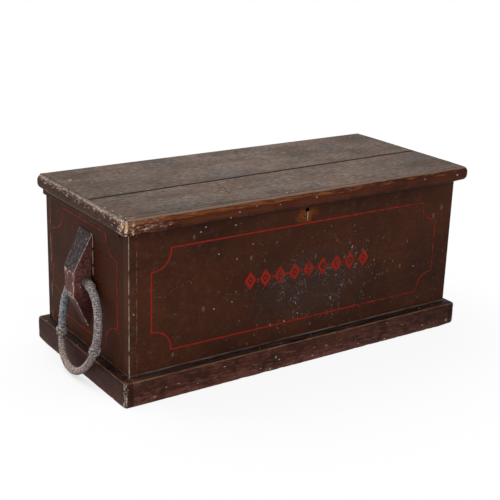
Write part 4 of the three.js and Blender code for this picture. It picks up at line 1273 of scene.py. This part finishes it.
def forgedIron(name, seed):
    material = newMaterial(name)
    blows = grained(ironwork["hammerMarks"], seed, 2)
    skin = grained(ironwork["skin"], seed + 1, 5)
    iron = layEvenly(ironwork["scale"], ironwork["bare"], skin, 0.45, 0.7)
    rusty = add("MapRange SMOOTHSTEP", grained(ironwork["rustPatch"], seed + 2, 7), 0.52, 0.66, 0, 0.85)
    iron = add("Mix RGBA", rusty, iron, ironwork["rust"])
    relief = summed(blows, (skin, 0.35))
    closeShader(iron, (rusty, 0, 1, 0.46, 0.85), relief, 0.5, {"Metallic": 0.7})
    return material


# slotted screw heads standing a little proud of the iron; out is the way they face
def screwHeads(name, places, out, body, finish):
    head, slot = ironwork["head"], ironwork["slot"]
    out = Vector(out)
    edge = asin(slot / 2 / head)
    arc = [edge + (pi - 2 * edge) * i / 12 for i in range(13)]
    circle = [2 * pi * i / 20 for i in range(20)]
    work = ([], [])
    for at in places:
        turnBy = dice.random() * pi
        aside = Vector((0, 0, 1)) if abs(out.z) < 0.5 else Vector((1, 0, 0))
        aside = (aside * cos(turnBy) + out.cross(aside) * sin(turnBy)).normalized()
        other = out.cross(aside)
        for sign in (-1, 1, 0):
            if sign:  # half of the head, on one side of its slot
                rim = [(cos(a) * head, sign * sin(a) * head) for a in arc]
                levels = ((-0.2, 1.0), (0.35, 1.0), (0.75, 0.88))
            else:  # the bottom of the slot
                rim = [(cos(a) * head * 0.97, sin(a) * head * 0.97) for a in circle]
                levels = ((-0.2, 1.0), (0.02, 1.0), (0.05, 0.98))
            rings = []
            for lift, inset in levels:
                keep = [1.0 if sign and abs(v) < slot else inset for u, v in rim]
                rings.append([
                    at + (aside * u * inset + other * v * k + out * lift) / 1000 for (u, v), k in zip(rim, keep)
                ])
            joinRings(work, *rings)
    newPiece(name, meshFrom(name, *work, False), body, finish)


for i, node in enumerate((
    "lock_case", "lock_bolt", "lock_staple", "hinge_strap_left", "hinge_strap_right",
    "hinge_leaf_left", "hinge_leaf_right", "hinge_pin_left", "hinge_pin_right",
)):
    dress(node, forgedIron("forged_black_iron_" + node, 110.0 + i))
screwIron = forgedIron("forged_black_iron_screws", 130.0)
for sideName, x in ironwork["hinges"].items():
    heads = [place(x + dx, y, chest["top"]) for dx, y in ironwork["strap"]]
    screwHeads("strap_screws_" + sideName, heads, (0, 0, -1), "lid", screwIron)
    heads = [place(x + dx, ironwork["leafFace"], z) for dx, z in ironwork["leaf"]]
    screwHeads("leaf_screws_" + sideName, heads, (0, 1, 0), "chest", screwIron)
heads = [place(dx, ironwork["caseFace"], z) for dx, z in ironwork["case"]]
screwHeads("lock_screws", heads, (0, 1, 0), "chest", screwIron)
print("ironwork dressed")


# floor, light and white surround, in metres and watts
stage = {
    "half": 6.0, "paper": "#f4f4f4", "ambient": 0.4,
    "glowFrom": 0.45, "glowAll": 0.85,  # how far out the floor turns to plain white
    "contact": (-0.54, 0.04, 0.0),  # the left becket's own shadow stays round here
    "lamps": {
        "key_light": {"at": (-1.1, 1.3, 2.9), "aim": (0, 0, 0.25), "size": 2.2, "power": 78},
        "fill_light": {"at": (-0.6, -3.2, 2.1), "aim": (0, 0, 0.2), "size": 2.6, "power": 42},
    },
}


# 1 for the rays that see the surround, straight on, mirrored or through something clear
def seenRays():
    rays = add("LightPath").outputs
    seen = add("Math MAXIMUM", rays["Is Camera Ray"], rays["Is Glossy Ray"])
    return add("Math MAXIMUM", seen, rays["Is Transmission Ray"])


half = stage["half"]
corners = [(-half, -half, 0), (half, -half, 0), (half, half, 0), (-half, half, 0)]
floorMesh = meshFrom("floor", corners, [(0, 1, 2, 3)], False)
floor = bpy.data.objects.new("floor", floorMesh)
scene.collection.objects.link(floor)
floorFinish = newMaterial("white_studio_floor")
far = add("VectorMath LENGTH", bench["where"])
away = add("VectorMath DISTANCE", bench["where"], stage["contact"])
white = add("MapRange SMOOTHSTEP", far, stage["glowFrom"], stage["glowAll"], 0.9)
deeper = add("MapRange SMOOTHSTEP", away, 0.06, 0.26, 0.74)
white = add("Math MULTIPLY", white, deeper)
share = add("Math MULTIPLY", seenRays(), white)
paper = add("BsdfDiffuse", stage["paper"])
glow = add("Emission", "#ffffff", 1.0)
both = add("MixShader", share, paper, glow)
add("OutputMaterial", both)
floorMesh.materials.append(floorFinish)

world = bpy.data.worlds.new("studio")
scene.world = world
openTree(world)
strength = add("MapRange", seenRays(), 0, 1, stage["ambient"])
sky = add("Background", "#ffffff", strength)
add("OutputWorld", sky)

for name, lampSet in stage["lamps"].items():
    lamp = bpy.data.lights.new(name, "AREA")
    lamp.shape = "SQUARE"
    lamp.size = lampSet["size"]
    lamp.energy = lampSet["power"]
    light = bpy.data.objects.new(name, lamp)
    light.location = lampSet["at"]
    light.rotation_euler = (Vector(lampSet["aim"]) - Vector(lampSet["at"])).to_track_quat("-Z", "Y").to_euler()
    scene.collection.objects.link(light)
print("stage lit")
